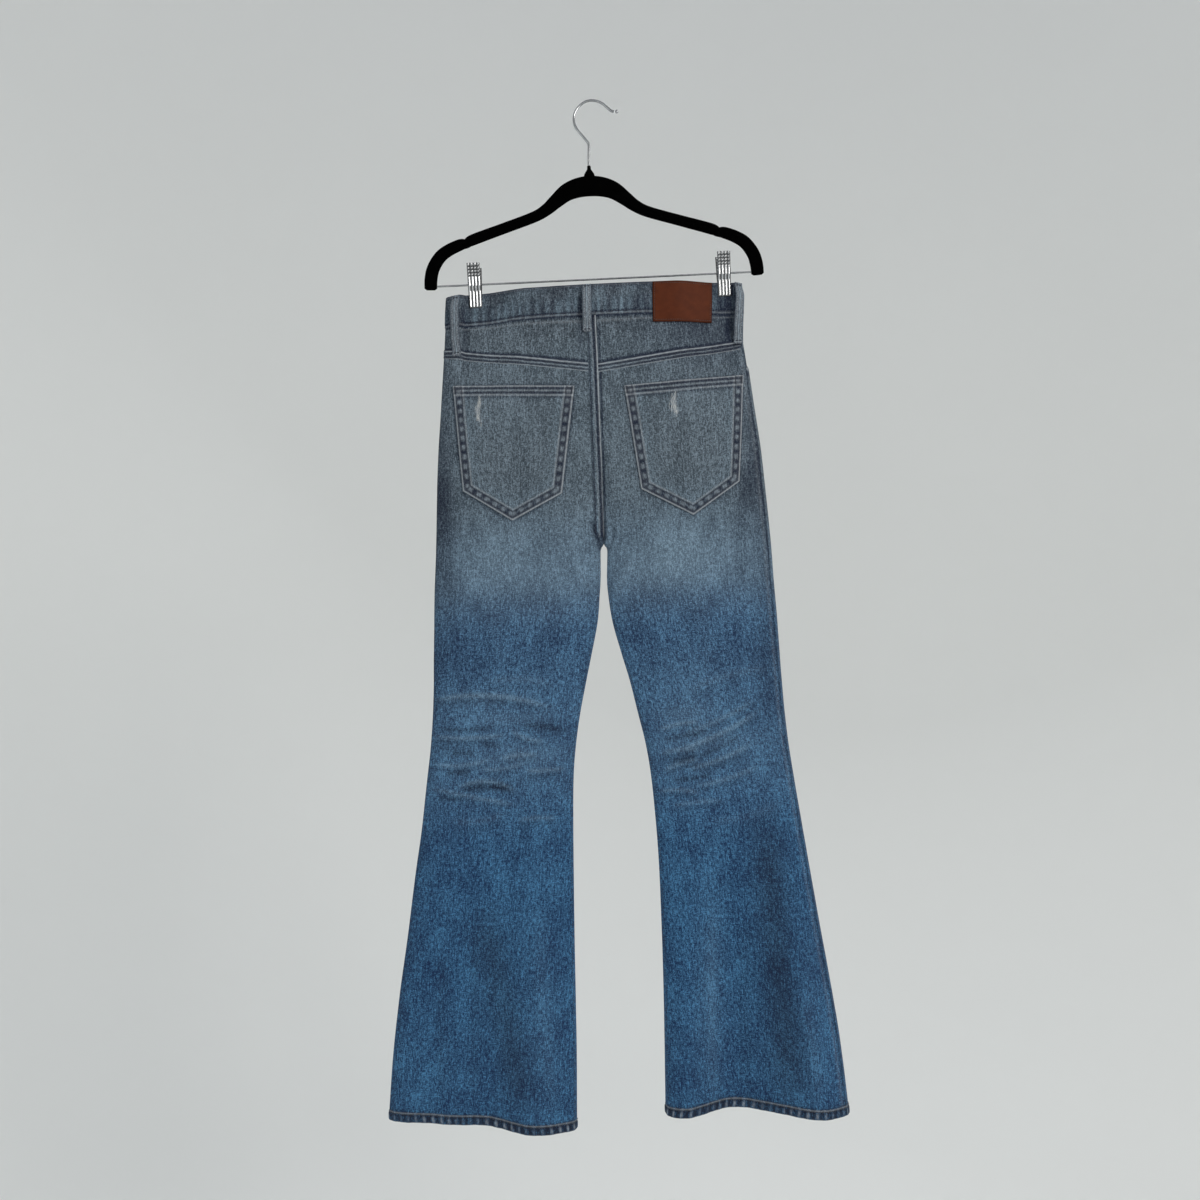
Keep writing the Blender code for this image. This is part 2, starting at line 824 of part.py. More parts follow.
def waistband_back(material, group):
    """The waistband across the back, from one outseam to the other."""
    left = wall_rows("left", band_places("left", band_turns("left", True)[::-1], BAND_LIFT), 0.0, BAND_CLOTH)
    right = wall_rows("right", band_places("right", band_turns("right", True), BAND_LIFT), 0.0, BAND_CLOTH)
    outer, inner = (join_rows(one, two) for one, two in zip(left, right))
    return cloth_wall("waistband_back", outer, inner, material, group)


def waistband_front(side, material, group):
    """The waistband's front on one side; the right one runs on behind the left as the underlap."""
    places = band_places(side, band_turns(side, False), BAND_LIFT)
    outer, inner = wall_rows(side, places, 0.0, BAND_CLOTH)
    if side == "right":
        turns = [turn_at("left", False, x, WAIST_READING) for x in UNDERLAP_PLACES]
        under = band_places("left", turns, BAND_LIFT - BAND_CLOTH - UNDERLAP_GAP)
        under_outer, under_inner = wall_rows("left", under, 0.0, BAND_CLOTH)
        outer = [[*row[:-1], *tail] for row, tail in zip(outer, under_outer)]
        inner = [[*row[:-1], *tail] for row, tail in zip(inner, under_inner)]
    return cloth_wall(f"waistband_front_{side}", outer, inner, material, group)


def hem_band(side, behind, material, group):
    """The turned-up hem on one layer of a leg."""
    levels = row_levels(
        lambda turn: hem_drop(side, turn) - HEM_HEIGHT,
        lambda turn: hem_drop(side, turn),
        even_shares(HEM_ROWS),
    )
    turns = back_turns(side) if behind else front_turns(side)
    outer, inner = wall_rows(side, grid_places(turns, levels), HEM_LIFT, HEM_CLOTH)
    layer = "back" if behind else "front"
    return cloth_wall(f"hem_{layer}_{side}", outer, inner, material, group)


def mix_corners(first, second, share):
    """Blends two corners of a pocket."""
    return Corner(mix(first.across, second.across, share), mix(first.drop, second.drop, share))


def patch_pocket(side, material, group):
    """A back patch pocket with its pointed foot."""
    inner_top, outer_top, inner_foot, outer_foot, tip = POCKETS[side]
    places = []
    for down in even_shares(POCKET_ROWS):
        row = []
        for share in even_shares(POCKET_COLUMNS):
            near_tip = 1.0 - abs(2.0 * share - 1.0)
            corner = inner_foot if share <= 0.5 else outer_foot
            mouth = mix_corners(inner_top, outer_top, share)
            foot = mix_corners(corner, tip, near_tip)
            x, drop = mix_corners(mouth, foot, down)
            row.append((turn_at(side, True, x, drop), drop))
        places.append(row)
    outer, inner = wall_rows(side, places, POCKET_CLOTH + POCKET_GAP, POCKET_CLOTH)
    return cloth_wall(f"back_pocket_{side}", outer, inner, material, group)


def waist_patch(material, group):
    """The bare leather patch on the right half of the back waistband."""
    places = []
    for down in even_shares(PATCH_ROWS):
        row = []
        for share in even_shares(PATCH_COLUMNS):
            x = mix(PATCH_LEFT, PATCH_RIGHT, share)
            drop = waist_top(x) + PATCH_DROP + PATCH_HEIGHT * down
            row.append((turn_at("right", True, x, drop), drop))
        places.append(row)
    outer, inner = wall_rows("right", places, BAND_LIFT + LAYER_GAP + LEATHER, LEATHER)
    return cloth_wall("waist_patch", outer, inner, material, group)


def belt_loop(loop, material, group):
    """A belt loop, seated at both ends and standing off between them for a belt."""
    places = []
    for stage in LOOP_STAGES:
        x = mix(loop.top_across, loop.foot_across, stage.down)
        drop = waist_top(x) + LOOP_DROP + loop.length * stage.down
        lift = BAND_LIFT + REST_GAP + LOOP_CLOTH + LOOP_STANDOFF * stage.stand
        centre = turn_at(loop.side, loop.behind, x, drop)
        turns = [walk(loop.side, centre, drop, share * LOOP_WIDTH) for share in LOOP_COLUMNS]
        places.append([(turn, drop, lift) for turn in turns])
    outer, inner = wall_rows(loop.side, places, 0.0, LOOP_CLOTH)
    return cloth_wall(loop.name, outer, inner, material, group)


def centre_front_strip(name, reach, bottom, lift, thickness, material, group):
    """A strip behind the closed fly, deeper inside at its top to leave room for the zip's slider."""
    outer = []
    top = waist_seam(0.0) + STRIP_DROP
    for station in STRIP_STATIONS:
        drop = mix(top, bottom, station.down)
        sunk = lift - SLIDER_ROOM * station.sunk
        centre = ring_point("left", 2.0, drop)
        row = []
        for share in STRIP_COLUMNS:
            x = centre.x + reach * share
            side = "left" if x < centre.x else "right"
            near = ring_point(side, turn_at(side, False, x, drop), drop)
            row.append(Vector((near.x, min(near.y, centre.y) + sunk, near.z)))
        outer.append(row)
    inner = [[point - Vector((0.0, thickness, 0.0)) for point in row] for row in outer]
    return cloth_wall(name, outer, inner, material, group)


def fly(materials, group):
    """The closed zip, its slider and the shield, one behind the other under the fronts."""
    first = -(DENIM + LAYER_GAP)
    centre_front_strip("zip", ZIP_REACH, ZIP_END, first, ZIP_TAPE, materials["zip"], group)
    behind = first - ZIP_TAPE - LAYER_GAP
    centre_front_strip("fly_shield", SHIELD_REACH, SHIELD_END, behind, DENIM, materials["denim"], group)
    seat = ring_point("left", 2.0, waist_seam(0.0) + SLIDER_DROP)
    bpy.ops.mesh.primitive_cube_add(size=1.0)
    slider = bpy.context.object
    slider.name = "zip_slider"
    slider.data.name = "zip_slider"
    slider.data.materials.append(materials["brass"])
    slider.dimensions = Vector(SLIDER_SIZE) * MM
    bpy.ops.object.transform_apply(location=False, rotation=False, scale=True)
    slider.location = Vector((seat.x, seat.y + first - 0.5 * SLIDER_ROOM, seat.z)) * MM
    rounding = slider.modifiers.new("rounded", "BEVEL")
    rounding.width = SLIDER_ROUNDING * MM
    rounding.segments = 1
    move_to(slider, group)


def move_to(thing, group):
    """Puts an object in one collection alone."""
    for other in list(thing.users_collection):
        other.objects.unlink(thing)
    group.objects.link(thing)


def turned(name, profile, segments, material, group):
    """A turned solid: a profile of radius and height, spun about Z by a Screw modifier."""
    mesh = bmesh.new()
    points = [mesh.verts.new((point.radius * MM, 0.0, point.height * MM)) for point in profile]
    for first, second in zip(points, points[1:]):
        mesh.edges.new((first, second))
    thing = place_mesh(mesh, name, material, group)
    screw = thing.modifiers.new("turned", "SCREW")
    screw.steps = segments
    screw.render_steps = segments
    screw.use_merge_vertices = True
    screw.merge_threshold = 0.00001
    return thing


def waist_button(materials, group, cutters):
    """The waist button, its shank through the buttonhole that it cuts in the left front waistband."""
    x = inner_edge("left", WAIST_READING) - BUTTON_PLACE
    level = waist_top(x) + 0.5 * WAISTBAND_HEIGHT
    turn = turn_at("left", False, x, level)
    seat = lifted("left", turn, level, BAND_LIFT)
    normal = outward("left", turn, level)
    foot = -(BAND_CLOTH + BUTTON_ROOM)
    profile = (*BUTTON_CAP, ProfilePoint(BUTTON_SHANK, foot), ProfilePoint(0.0, foot))
    button = turned("waist_button", profile, 18, materials["brass"], group)
    facing = Vector((0.0, 0.0, 1.0)).rotation_difference(normal)
    button.rotation_mode = "QUATERNION"
    button.rotation_quaternion = facing
    button.location = seat * MM
    bpy.ops.mesh.primitive_cube_add(size=1.0)
    hole = bpy.context.object
    hole.name = "buttonhole_cutter"
    hole.dimensions = Vector(BUTTONHOLE) * MM
    bpy.ops.object.transform_apply(location=False, rotation=False, scale=True)
    hole.location = seat * MM
    hole.hide_render = True
    hole.display_type = "WIRE"
    move_to(hole, cutters)
    band = bpy.data.objects["waistband_front_left"]
    cut = band.modifiers.new("buttonhole", "BOOLEAN")
    cut.operation = "DIFFERENCE"
    cut.solver = "EXACT"
    cut.object = hole


def hanger_frame(across, up, out=0.0):
    """A point of the hanger's upright frame in the part's frame, in millimetres."""
    turned_point = Matrix.Rotation(-HANGER_ANGLE, 3, "Y") @ Vector((across, out, up))
    return turned_point + Vector((COLLAR_X, 0.0, COLLAR_Z))


def smooth_path(points, steps):
    """Points along a Catmull-Rom curve through the given vectors."""
    path = []
    last = len(points) - 1
    for index in range(last):
        near = [points[min(max(index + step, 0), last)] for step in (-1, 0, 1, 2)]
        for step in range(steps):
            share = step / steps
            one = (near[2] - near[0]) * 0.5
            two = (near[3] - near[1]) * 0.5
            square = share * share
            cube = square * share
            path.append(
                near[1] * (2 * cube - 3 * square + 1)
                + one * (cube - 2 * square + share)
                + near[2] * (3 * square - 2 * cube)
                + two * (cube - square)
            )
    path.append(points[last])
    return path


def squared(part):
    """Pushes a circle's coordinate out towards a square's."""
    return math.copysign(abs(part) ** BODY_SQUARENESS, part)


def hanger_body(material, group):
    """The velvet body: rounded sections swept along both arms."""
    stations = [Vector((-station.across, station.up, station.half_width)) for station in ARM[:0:-1]]
    stations += [Vector((station.across, station.up, station.half_width)) for station in ARM]
    path = smooth_path(stations, 2)
    mesh = bmesh.new()
    rings = []
    for index, here in enumerate(path):
        before = path[max(index - 1, 0)]
        after = path[min(index + 1, len(path) - 1)]
        way = Vector((after.x - before.x, after.y - before.y)).normalized()
        across = Vector((-way.y, way.x))
        ring = []
        for corner in range(BODY_CORNERS):
            angle = 2.0 * math.pi * (corner + 0.5) / BODY_CORNERS
            wide = squared(math.cos(angle)) * here.z
            thick = squared(math.sin(angle)) * HANGER_HALF_THICK
            point = hanger_frame(here.x + across.x * wide, here.y + across.y * wide, thick)
            ring.append(mesh.verts.new(point * MM))
        rings.append(ring)
    for first, second in zip(rings, rings[1:]):
        for corner in range(BODY_CORNERS):
            following = (corner + 1) % BODY_CORNERS
            mesh.faces.new((first[corner], first[following], second[following], second[corner]))
    mesh.faces.new(rings[0][::-1])
    mesh.faces.new(rings[-1])
    bmesh.ops.recalc_face_normals(mesh, faces=mesh.faces)
    return place_mesh(mesh, "hanger_body", material, group)


def wire(name, points, radius, material, group):
    """A round wire through points, with filled ends."""
    curve = bpy.data.curves.new(name, "CURVE")
    curve.dimensions = "3D"
    curve.bevel_depth = radius * MM
    curve.bevel_resolution = 2
    curve.use_fill_caps = True
    spline = curve.splines.new("POLY")
    spline.points.add(len(points) - 1)
    for place, point in zip(spline.points, points):
        place.co = (*(point * MM), 1.0)
    curve.materials.append(material)
    thing = bpy.data.objects.new(name, curve)
    group.objects.link(thing)
    return thing


def hanger_hook(materials, group):
    """The chrome hook, with a small ball at the end of its wire."""
    route = [Vector((point.across, 0.0, point.up)) for point in HOOK_WIRE]
    wire("hanger_hook", smooth_path(route, 2), HOOK_RADIUS, materials["chrome"], group)
    tip = route[-1] + Vector((HOOK_TIP_REACH, 0.0, HOOK_TIP_RISE))
    radius = HOOK_TIP_RADIUS * MM
    bpy.ops.mesh.primitive_uv_sphere_add(segments=12, ring_count=7, radius=radius, location=tip * MM)
    ball = bpy.context.object
    ball.name = "hanger_hook_tip"
    ball.data.name = "hanger_hook_tip"
    ball.data.materials.append(materials["chrome"])
    ball.data.shade_smooth()
    move_to(ball, group)


def hanger_collar(material, group):
    """The velvet collar that carries the hook on the body."""
    collar = turned("hanger_collar", COLLAR_PROFILE, 16, material, group)
    collar.location = hanger_frame(0.0, 0.0) * MM
    collar.rotation_euler = (0.0, -HANGER_ANGLE, 0.0)
    collar.scale = (1.0, COLLAR_FLATNESS, 1.0)
    return collar


def hanger_rod(material, group):
    """The thin rod between the hanger's feet."""
    ends = [hanger_frame(across, ROD_LEVEL) for across in (-ROD_HALF_LENGTH, 0.0, ROD_HALF_LENGTH)]
    return wire("hanger_rod", ends, ROD_RADIUS, material, group)


def clip_plate(side, behind, material, group):
    """One ribbed plate of a clip: a wall with four ribs raised on its outer face."""
    sign = -1.0 if behind else 1.0
    mesh = bmesh.new()
    outer = []
    inner = []
    for station in JAW:
        outer_row = []
        inner_row = []
        for place in RIB_PLACES:
            raised = CLIP_RIB * station.rib if abs(place) in RIB_CENTRES else 0.0
            across = CLIP_PLACE[side] + place
            up = ROD_LEVEL + station.up
            outer_row.append(hanger_frame(across, up, sign * (station.off + CLIP_PLATE + raised)))
            inner_row.append(hanger_frame(across, up, sign * station.off))
        outer.append(outer_row)
        inner.append(inner_row)
    skin = add_grid(mesh, outer)
    ends = (0, len(inner) - 1)
    lining = []
    for index, row in enumerate(inner):
        kept = row if index in ends else (row[0], row[-1])
        lining.append([mesh.verts.new(point * MM) for point in kept])
    for upper, lower in zip(lining, lining[1:]):
        mesh.faces.new([*upper, *lower[::-1]])
    for face_row, back_row in ((skin[0], lining[0]), (skin[-1], lining[-1])):
        for index in range(len(face_row) - 1):
            mesh.faces.new((face_row[index], face_row[index + 1], back_row[index + 1], back_row[index]))
    for end in (0, -1):
        edge = [row[end] for row in skin]
        back = [row[end] for row in lining]
        for index in range(len(edge) - 1):
            mesh.faces.new((edge[index], edge[index + 1], back[index + 1], back[index]))
    bmesh.ops.recalc_face_normals(mesh, faces=mesh.faces)
    layer = "back" if behind else "front"
    return place_mesh(mesh, f"clip_{side}_{layer}_plate", material, group)


def clip_spring(side, material, group):
    """The spring barrel between a clip's plates, bored for the rod."""
    profile = (
        ProfilePoint(CLIP_SPRING_RADIUS, CLIP_SPRING_HALF),
        ProfilePoint(CLIP_SPRING_RADIUS, -CLIP_SPRING_HALF),
        ProfilePoint(CLIP_BORE, -CLIP_SPRING_HALF),
        ProfilePoint(CLIP_BORE, CLIP_SPRING_HALF),
        ProfilePoint(CLIP_SPRING_RADIUS, CLIP_SPRING_HALF),
    )
    spring = turned(f"clip_{side}_spring", profile, 16, material, group)
    spring.location = hanger_frame(CLIP_PLACE[side], ROD_LEVEL) * MM
    spring.rotation_euler = (0.0, 0.5 * math.pi - HANGER_ANGLE, 0.0)
    return spring


def make_materials():
    """The part's plain finishes."""
    return {
        "denim": new_material("blue_denim", (0.075, 0.125, 0.19), 0.85),
        "denim_seat": new_material("faded_denim", (0.11, 0.15, 0.19), 0.85),
        "leather": new_material("brown_leather", (0.09, 0.03, 0.015), 0.5),
        "brass": new_material("aged_brass", (0.3, 0.2, 0.1), 0.35, 1.0),
        "zip": new_material("zip_tape", (0.03, 0.05, 0.09), 0.7),
        "velvet": new_material("black_velvet", (0.004, 0.004, 0.004), 0.95),
        "chrome": new_material("chrome", (0.75, 0.76, 0.77), 0.15, 1.0),
    }


def main():
    """Builds the jeans and the hanger."""
    clear_scene()
    group = new_collection(COLLECTION)
    cutters = new_collection("cutters")
    finish = make_materials()
    for side in ("left", "right"):
        back_panel(side, finish["denim"], group)
        front_panel(side, finish["denim"], group)
        yoke(side, finish["denim_seat"], group)
        pocket_facing(side, finish["denim_seat"], group)
        patch_pocket(side, finish["denim_seat"], group)
        waistband_front(side, finish["denim_seat"], group)
        for behind in (True, False):
            hem_band(side, behind, finish["denim"], group)
            clip_plate(side, behind, finish["chrome"], group)
        clip_spring(side, finish["chrome"], group)
    waistband_back(finish["denim_seat"], group)
    waist_patch(finish["leather"], group)
    for loop in LOOPS:
        belt_loop(loop, finish["denim_seat"], group)
    fly(finish, group)
    waist_button(finish, group, cutters)
    hanger_body(finish["velvet"], group)
    hanger_collar(finish["velvet"], group)
    hanger_hook(finish, group)
    hanger_rod(finish["chrome"], group)


main()
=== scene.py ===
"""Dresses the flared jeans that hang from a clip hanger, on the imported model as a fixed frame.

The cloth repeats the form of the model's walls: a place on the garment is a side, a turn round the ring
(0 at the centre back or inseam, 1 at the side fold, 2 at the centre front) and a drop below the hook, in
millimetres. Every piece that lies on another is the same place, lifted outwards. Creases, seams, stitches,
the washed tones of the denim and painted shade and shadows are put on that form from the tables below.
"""
import logging
import math
from dataclasses import dataclass, field
from enum import Enum
from typing import Callable, NamedTuple, Optional, Sequence

import bpy
import numpy as np
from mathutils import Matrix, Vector


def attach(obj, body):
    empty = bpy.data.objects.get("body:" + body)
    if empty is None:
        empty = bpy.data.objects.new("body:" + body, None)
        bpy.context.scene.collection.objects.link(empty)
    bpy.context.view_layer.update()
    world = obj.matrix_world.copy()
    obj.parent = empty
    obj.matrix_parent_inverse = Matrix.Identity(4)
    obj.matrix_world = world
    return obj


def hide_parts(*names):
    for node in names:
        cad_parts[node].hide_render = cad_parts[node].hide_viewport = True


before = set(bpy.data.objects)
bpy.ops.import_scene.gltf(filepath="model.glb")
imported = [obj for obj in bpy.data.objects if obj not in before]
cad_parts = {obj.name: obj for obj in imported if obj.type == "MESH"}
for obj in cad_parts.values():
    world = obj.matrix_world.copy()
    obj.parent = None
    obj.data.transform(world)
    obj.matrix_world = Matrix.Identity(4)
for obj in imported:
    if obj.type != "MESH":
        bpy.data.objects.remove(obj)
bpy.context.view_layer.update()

LOG = logging.getLogger("jeans")
MM = 0.001
BODY = "root"
Colour = tuple[float, float, float]
Array = np.ndarray
Piece = bpy.types.Object
Material = bpy.types.Material
Socket = bpy.types.NodeSocket
# Soft bands across a distance: the weight, the place and the half width of each
Bands = tuple[tuple[float, float, float], ...]

# Where the shares of fade, wear and dark are in a wash mark, after its grey; the dark share is darker dye and
# seam lines together with painted shade and shadows
FADE, WORN, DARK = 1, 2, 3

# Sizes of the garment, in millimetres, as in the model
DENIM = 1.3
BAND_CLOTH = 2.4
BAND_LIFT = 0.6
HEM_CLOTH = 2.6
HEM_LIFT = 0.4
HEM_HEIGHT = 13.0
POCKET_LIFT = 2.4
LEATHER_LIFT = 2.7
SEAM_GAP = 0.3
LAYER_GAP = 0.6
LOOP_CLOTH = 1.8
LOOP_LIFT = 2.7
LOOP_STANDOFF = 5.2
LOOP_WIDTH = 12.0
LOOP_DROP = 0.8
TILT = 0.049
WAIST_TOP = 246.0
WAIST_RISE = 5.0
WAIST_HALF = 190.0
WAISTBAND_HEIGHT = 41.0
YOKE_CENTRE = 345.0
CROTCH = 579.0
CROTCH_ROUNDING = 7.0
CROTCH_PARTING = 4.2
PARTING_LENGTH = 60.0
CLOSING_START = 360.0
CLOSING_POWER = 1.5
LAYER_ROUNDNESS = 2.2
CENTRE_STANDOFF = 1.8
SIDE_FOLD_SHARPNESS = 12.0
FOLD_FALLOFF = 1.6
FOLD_EDGE_FADE = 4.0
HEM_LEVEL = 1340.0
WAIST_READING = 262.0
YOKE_READING = 290.0
SCOOP_START = 0.48
SCOOP_DEPTH = 72.0
SCOOP_ROUND = 1.6
FACING_OVERLAP = 16.0
FACING_END_TURN = 1.56
UNDERLAP_REACH = 36.0
UNDERLAP_SINK = 2.7
BUTTON_PLACE = 17.0
TURN_STEP = 0.012
DROP_STEP = 1.5
PINCH_DEPTH = 2.1
PINCH_FLAT = 11.0
PINCH_FADE_IN = 55.0
PINCH_FADE_OUT = 9.0
PINCH_START = 268.0
PINCH_END = 420.0
FELL_WIDTH = 13.0
FELL_LIFT = 1.0
CENTRE_FELL_LIFT = 1.7
FELL_CLOTH = 0.8
POCKET_CLOTH = 0.9
LEATHER_CLOTH = 1.2
CLIP_PLATE = 0.75
YOKE_HEIGHT = 40.0
OUTER_ROW = 3.5
INNER_ROW = 10.0
MOUTH_ROWS = (4.0, 9.9)
# Millimetres to a turn of the ring, beside the outseam
OUTSEAM_SCALE = 62.0

# The hanger, in its own upright frame from the collar
COLLAR = (-10.5, -88.0)
HANGER_ANGLE = math.atan(0.0465)
HANGER_HALF_THICK = 3.0
ROD_LEVEL = -143.8
ROD_HALF_LENGTH = 206.0
ROD_RADIUS = 1.25
HOOK_RADIUS = 1.7
TIP_RADIUS = 2.4
TIP_OFFSET = (3.35, 0.2)
JAW_DROP = 20.0


class Side(Enum):
    """The wearer's left or right, and the way outwards along X."""

    LEFT = -1
    RIGHT = 1

    @property
    def word(self) -> str:
        """The side's name in the names of nodes and pieces."""
        return self.name.lower()


class Layer(Enum):
    """The back or the front layer of the garment as it hangs."""

    BACK = 0
    FRONT = 1

    @property
    def word(self) -> str:
        """The layer's name in the names of nodes and pieces."""
        return self.name.lower()


class Hold(Enum):
    """How a sheet of cloth is held."""

    HUNG = "hung"
    LAID = "laid"
    FOLDED = "folded"
    STRETCHED = "stretched"


OUTSEAM_TURN = {Side.LEFT: 1.06, Side.RIGHT: 0.90}
PANEL_GRIDS = {Layer.BACK: (110, 300), Layer.FRONT: (66, 220)}
PANEL_SHARES = {Layer.BACK: 0.80, Layer.FRONT: 0.82}
YOKE_RISE = {Side.LEFT: 30.0, Side.RIGHT: 24.0}
CLIP_PLACE = {Side.LEFT: -156.4, Side.RIGHT: 169.8}

# Bands across a felled seam, from its folded edge
YOKE_FELL = {
    DARK: ((1.5, 0.0, 2.0), (1.3, 5.5, 1.6), (1.15, 10.5, 1.5)),
    WORN: ((0.85, 3.0, 0.9), (0.3, 8.1, 0.9), (0.6, 12.7, 0.8)),
}
CENTRE_FELL = {DARK: ((1.5, 3.4, 1.9), (1.05, 10.8, 1.4)), WORN: ((0.9, 0.7, 1.0), (0.25, 6.6, 0.9))}
# Bands beside the outseam, under a front pocket's scoop and down the yoke
OUTSEAM_DARK: Bands = ((0.45, 0.0, 0.8),)
OUTSEAM_WORN: Bands = ((0.10, 2.4, 0.8),)
SCOOP_DARK: Bands = ((1.0, 3.4, 1.3), (0.9, 9.6, 1.3))
SCOOP_WORN: Bands = ((0.85, 0.8, 1.1), (0.3, 12.0, 1.0))
# YOKE_DARK: dark seam lines at the yoke's top and foot, with painted shade beside the raised waistband and
# fell
YOKE_DARK: Bands = ((1.2, YOKE_HEIGHT, 1.7), (1.0, 0.0, 1.6))
YOKE_WORN: Bands = ((0.24, 5.0, 1.0),)
# Bands down the waistband and across a belt loop
BAND_SUNK: Bands = ((0.30, 36.9, 1.0), (0.25, 2.87, 1.0))
# BAND_DARK: dark stitch lines, and painted shade along the band's rolled top edge and its foot
BAND_DARK: Bands = ((0.8, 36.49, 1.2), (1.1, WAISTBAND_HEIGHT, 1.2), (1.2, 0.0, 2.0), (0.22, 4.51, 1.2))
BAND_WORN: Bands = ((0.42, 39.155, 0.8), (0.22, 2.05, 0.8))
LOOP_WORN: Bands = ((0.45, 0.25, 0.06), (0.3, 0.0, 0.05))
# Bands in from a patch pocket's sewn border and down from its mouth
BORDER_SUNK: Bands = ((0.42, OUTER_ROW, 0.9), (0.42, INNER_ROW, 0.9))
BORDER_DARK: Bands = ((1.15, OUTER_ROW, 1.5), (0.95, INNER_ROW, 1.4))
BORDER_WORN: Bands = ((0.5, 12.3, 0.9),)
MOUTH_SUNK: Bands = tuple((0.42, row, 0.9) for row in MOUTH_ROWS)
# MOUTH_DARK: dark stitch lines, then a painted shadow under the doubled mouth at 15.3
MOUTH_DARK: Bands = (*((1.2, row, 1.6) for row in MOUTH_ROWS), (0.7, 15.3, 1.5))
MOUTH_WORN: Bands = ((0.34, 6.9, 1.0), (0.5, 12.8, 1.0))


class Section(NamedTuple):
    """The garment's outline at one drop, and how far each layer stands off the middle."""

    drop: float
    left_out: float
    left_in: float
    right_in: float
    right_out: float
    back: float
    front: float


SECTIONS = [
    Section(*row) for row in (
        (240, -197.5, -4.0, -4.0, 184.5, 12.0, 12.0), (290, -199.0, -2.0, -2.0, 188.0, 14.0, 13.5),
        (340, -201.5, 0.5, 0.5, 196.0, 16.5, 15.0), (400, -205.0, 2.8, 2.8, 205.0, 20.0, 17.0),
        (460, -208.5, 5.0, 5.0, 214.0, 22.0, 18.5), (520, -210.0, 7.0, 7.0, 221.0, 21.0, 18.5),
        (579, -211.0, 9.0, 9.0, 227.0, 19.0, 17.5), (640, -213.0, 4.0, 14.0, 232.0, 17.5, 16.5),
        (680, -213.5, 1.0, 20.0, 235.5, 17.0, 16.0), (720, -214.0, -6.5, 31.0, 238.5, 16.0, 15.5),
        (760, -214.0, -14.5, 43.0, 241.5, 15.5, 15.0), (800, -215.5, -22.0, 53.0, 245.0, 15.0, 14.5),
        (840, -218.5, -27.5, 63.0, 249.5, 15.0, 14.5), (880, -223.0, -30.5, 70.0, 255.5, 15.0, 15.0),
        (940, -229.5, -31.0, 76.5, 265.5, 16.0, 16.0), (1000, -238.0, -30.5, 81.0, 276.0, 17.0, 17.0),
        (1080, -248.0, -29.5, 84.5, 290.0, 18.0, 19.0), (1160, -259.0, -28.0, 87.0, 304.5, 19.0, 21.0),
        (1240, -267.5, -26.5, 88.5, 318.0, 19.5, 22.0), (1345, -274.5, -26.0, 90.0, 331.0, 20.0, 23.0),
    )
]


class Fold(NamedTuple):
    """A soft hanging fold that grows from its start to the hem; a positive swell stands out."""

    side: Side
    layer: Layer
    across_top: float
    across_hem: float
    half_width: float
    swell: float
    start: float


FOLDS = [
    Fold(side, layer, *row)
    for side, layer, rows in (
        (Side.RIGHT, Layer.BACK, (
            (0.16, 0.1, 0.14, 9, 930), (0.36, 0.38, 0.2, -17, 900), (0.7, 0.82, 0.22, 16, 860),
            (0.5, 0.5, 0.3, -3, 560),
        )),
        (Side.LEFT, Layer.BACK, (
            (0.26, 0.22, 0.2, 13, 880), (0.44, 0.48, 0.16, -6, 950), (0.72, 0.78, 0.16, -5, 1000),
            (0.5, 0.5, 0.3, -3, 560),
        )),
        (Side.RIGHT, Layer.FRONT, ((0.3, 0.26, 0.2, 10, 900), (0.58, 0.62, 0.2, -9, 940))),
        (Side.LEFT, Layer.FRONT, ((0.34, 0.36, 0.22, -8, 900), (0.66, 0.72, 0.2, 11, 880))),
    )
    for row in rows
]


class Hem(NamedTuple):
    """The hem's drop at the inseam, the middle and the side fold of one leg."""

    inner: float
    middle: float
    outer: float


HEMS = {Side.LEFT: Hem(1342.0, 1327.0, 1318.0), Side.RIGHT: Hem(1328.0, 1326.0, 1337.0)}


class Crease(NamedTuple):
    """A crease from one place to another; a positive height is a ridge, a negative one a trough. A rubbed
    above zero pales the line with wear and paints shade just below it; one below zero darkens along the line,
    as painted shade in troughs, folds and beside raised pieces, and as dark seam and stitch lines.
    """

    layer: Layer
    x_start: float
    drop_start: float
    x_end: float
    drop_end: float
    bow: float
    width: float
    height: float
    rubbed: float


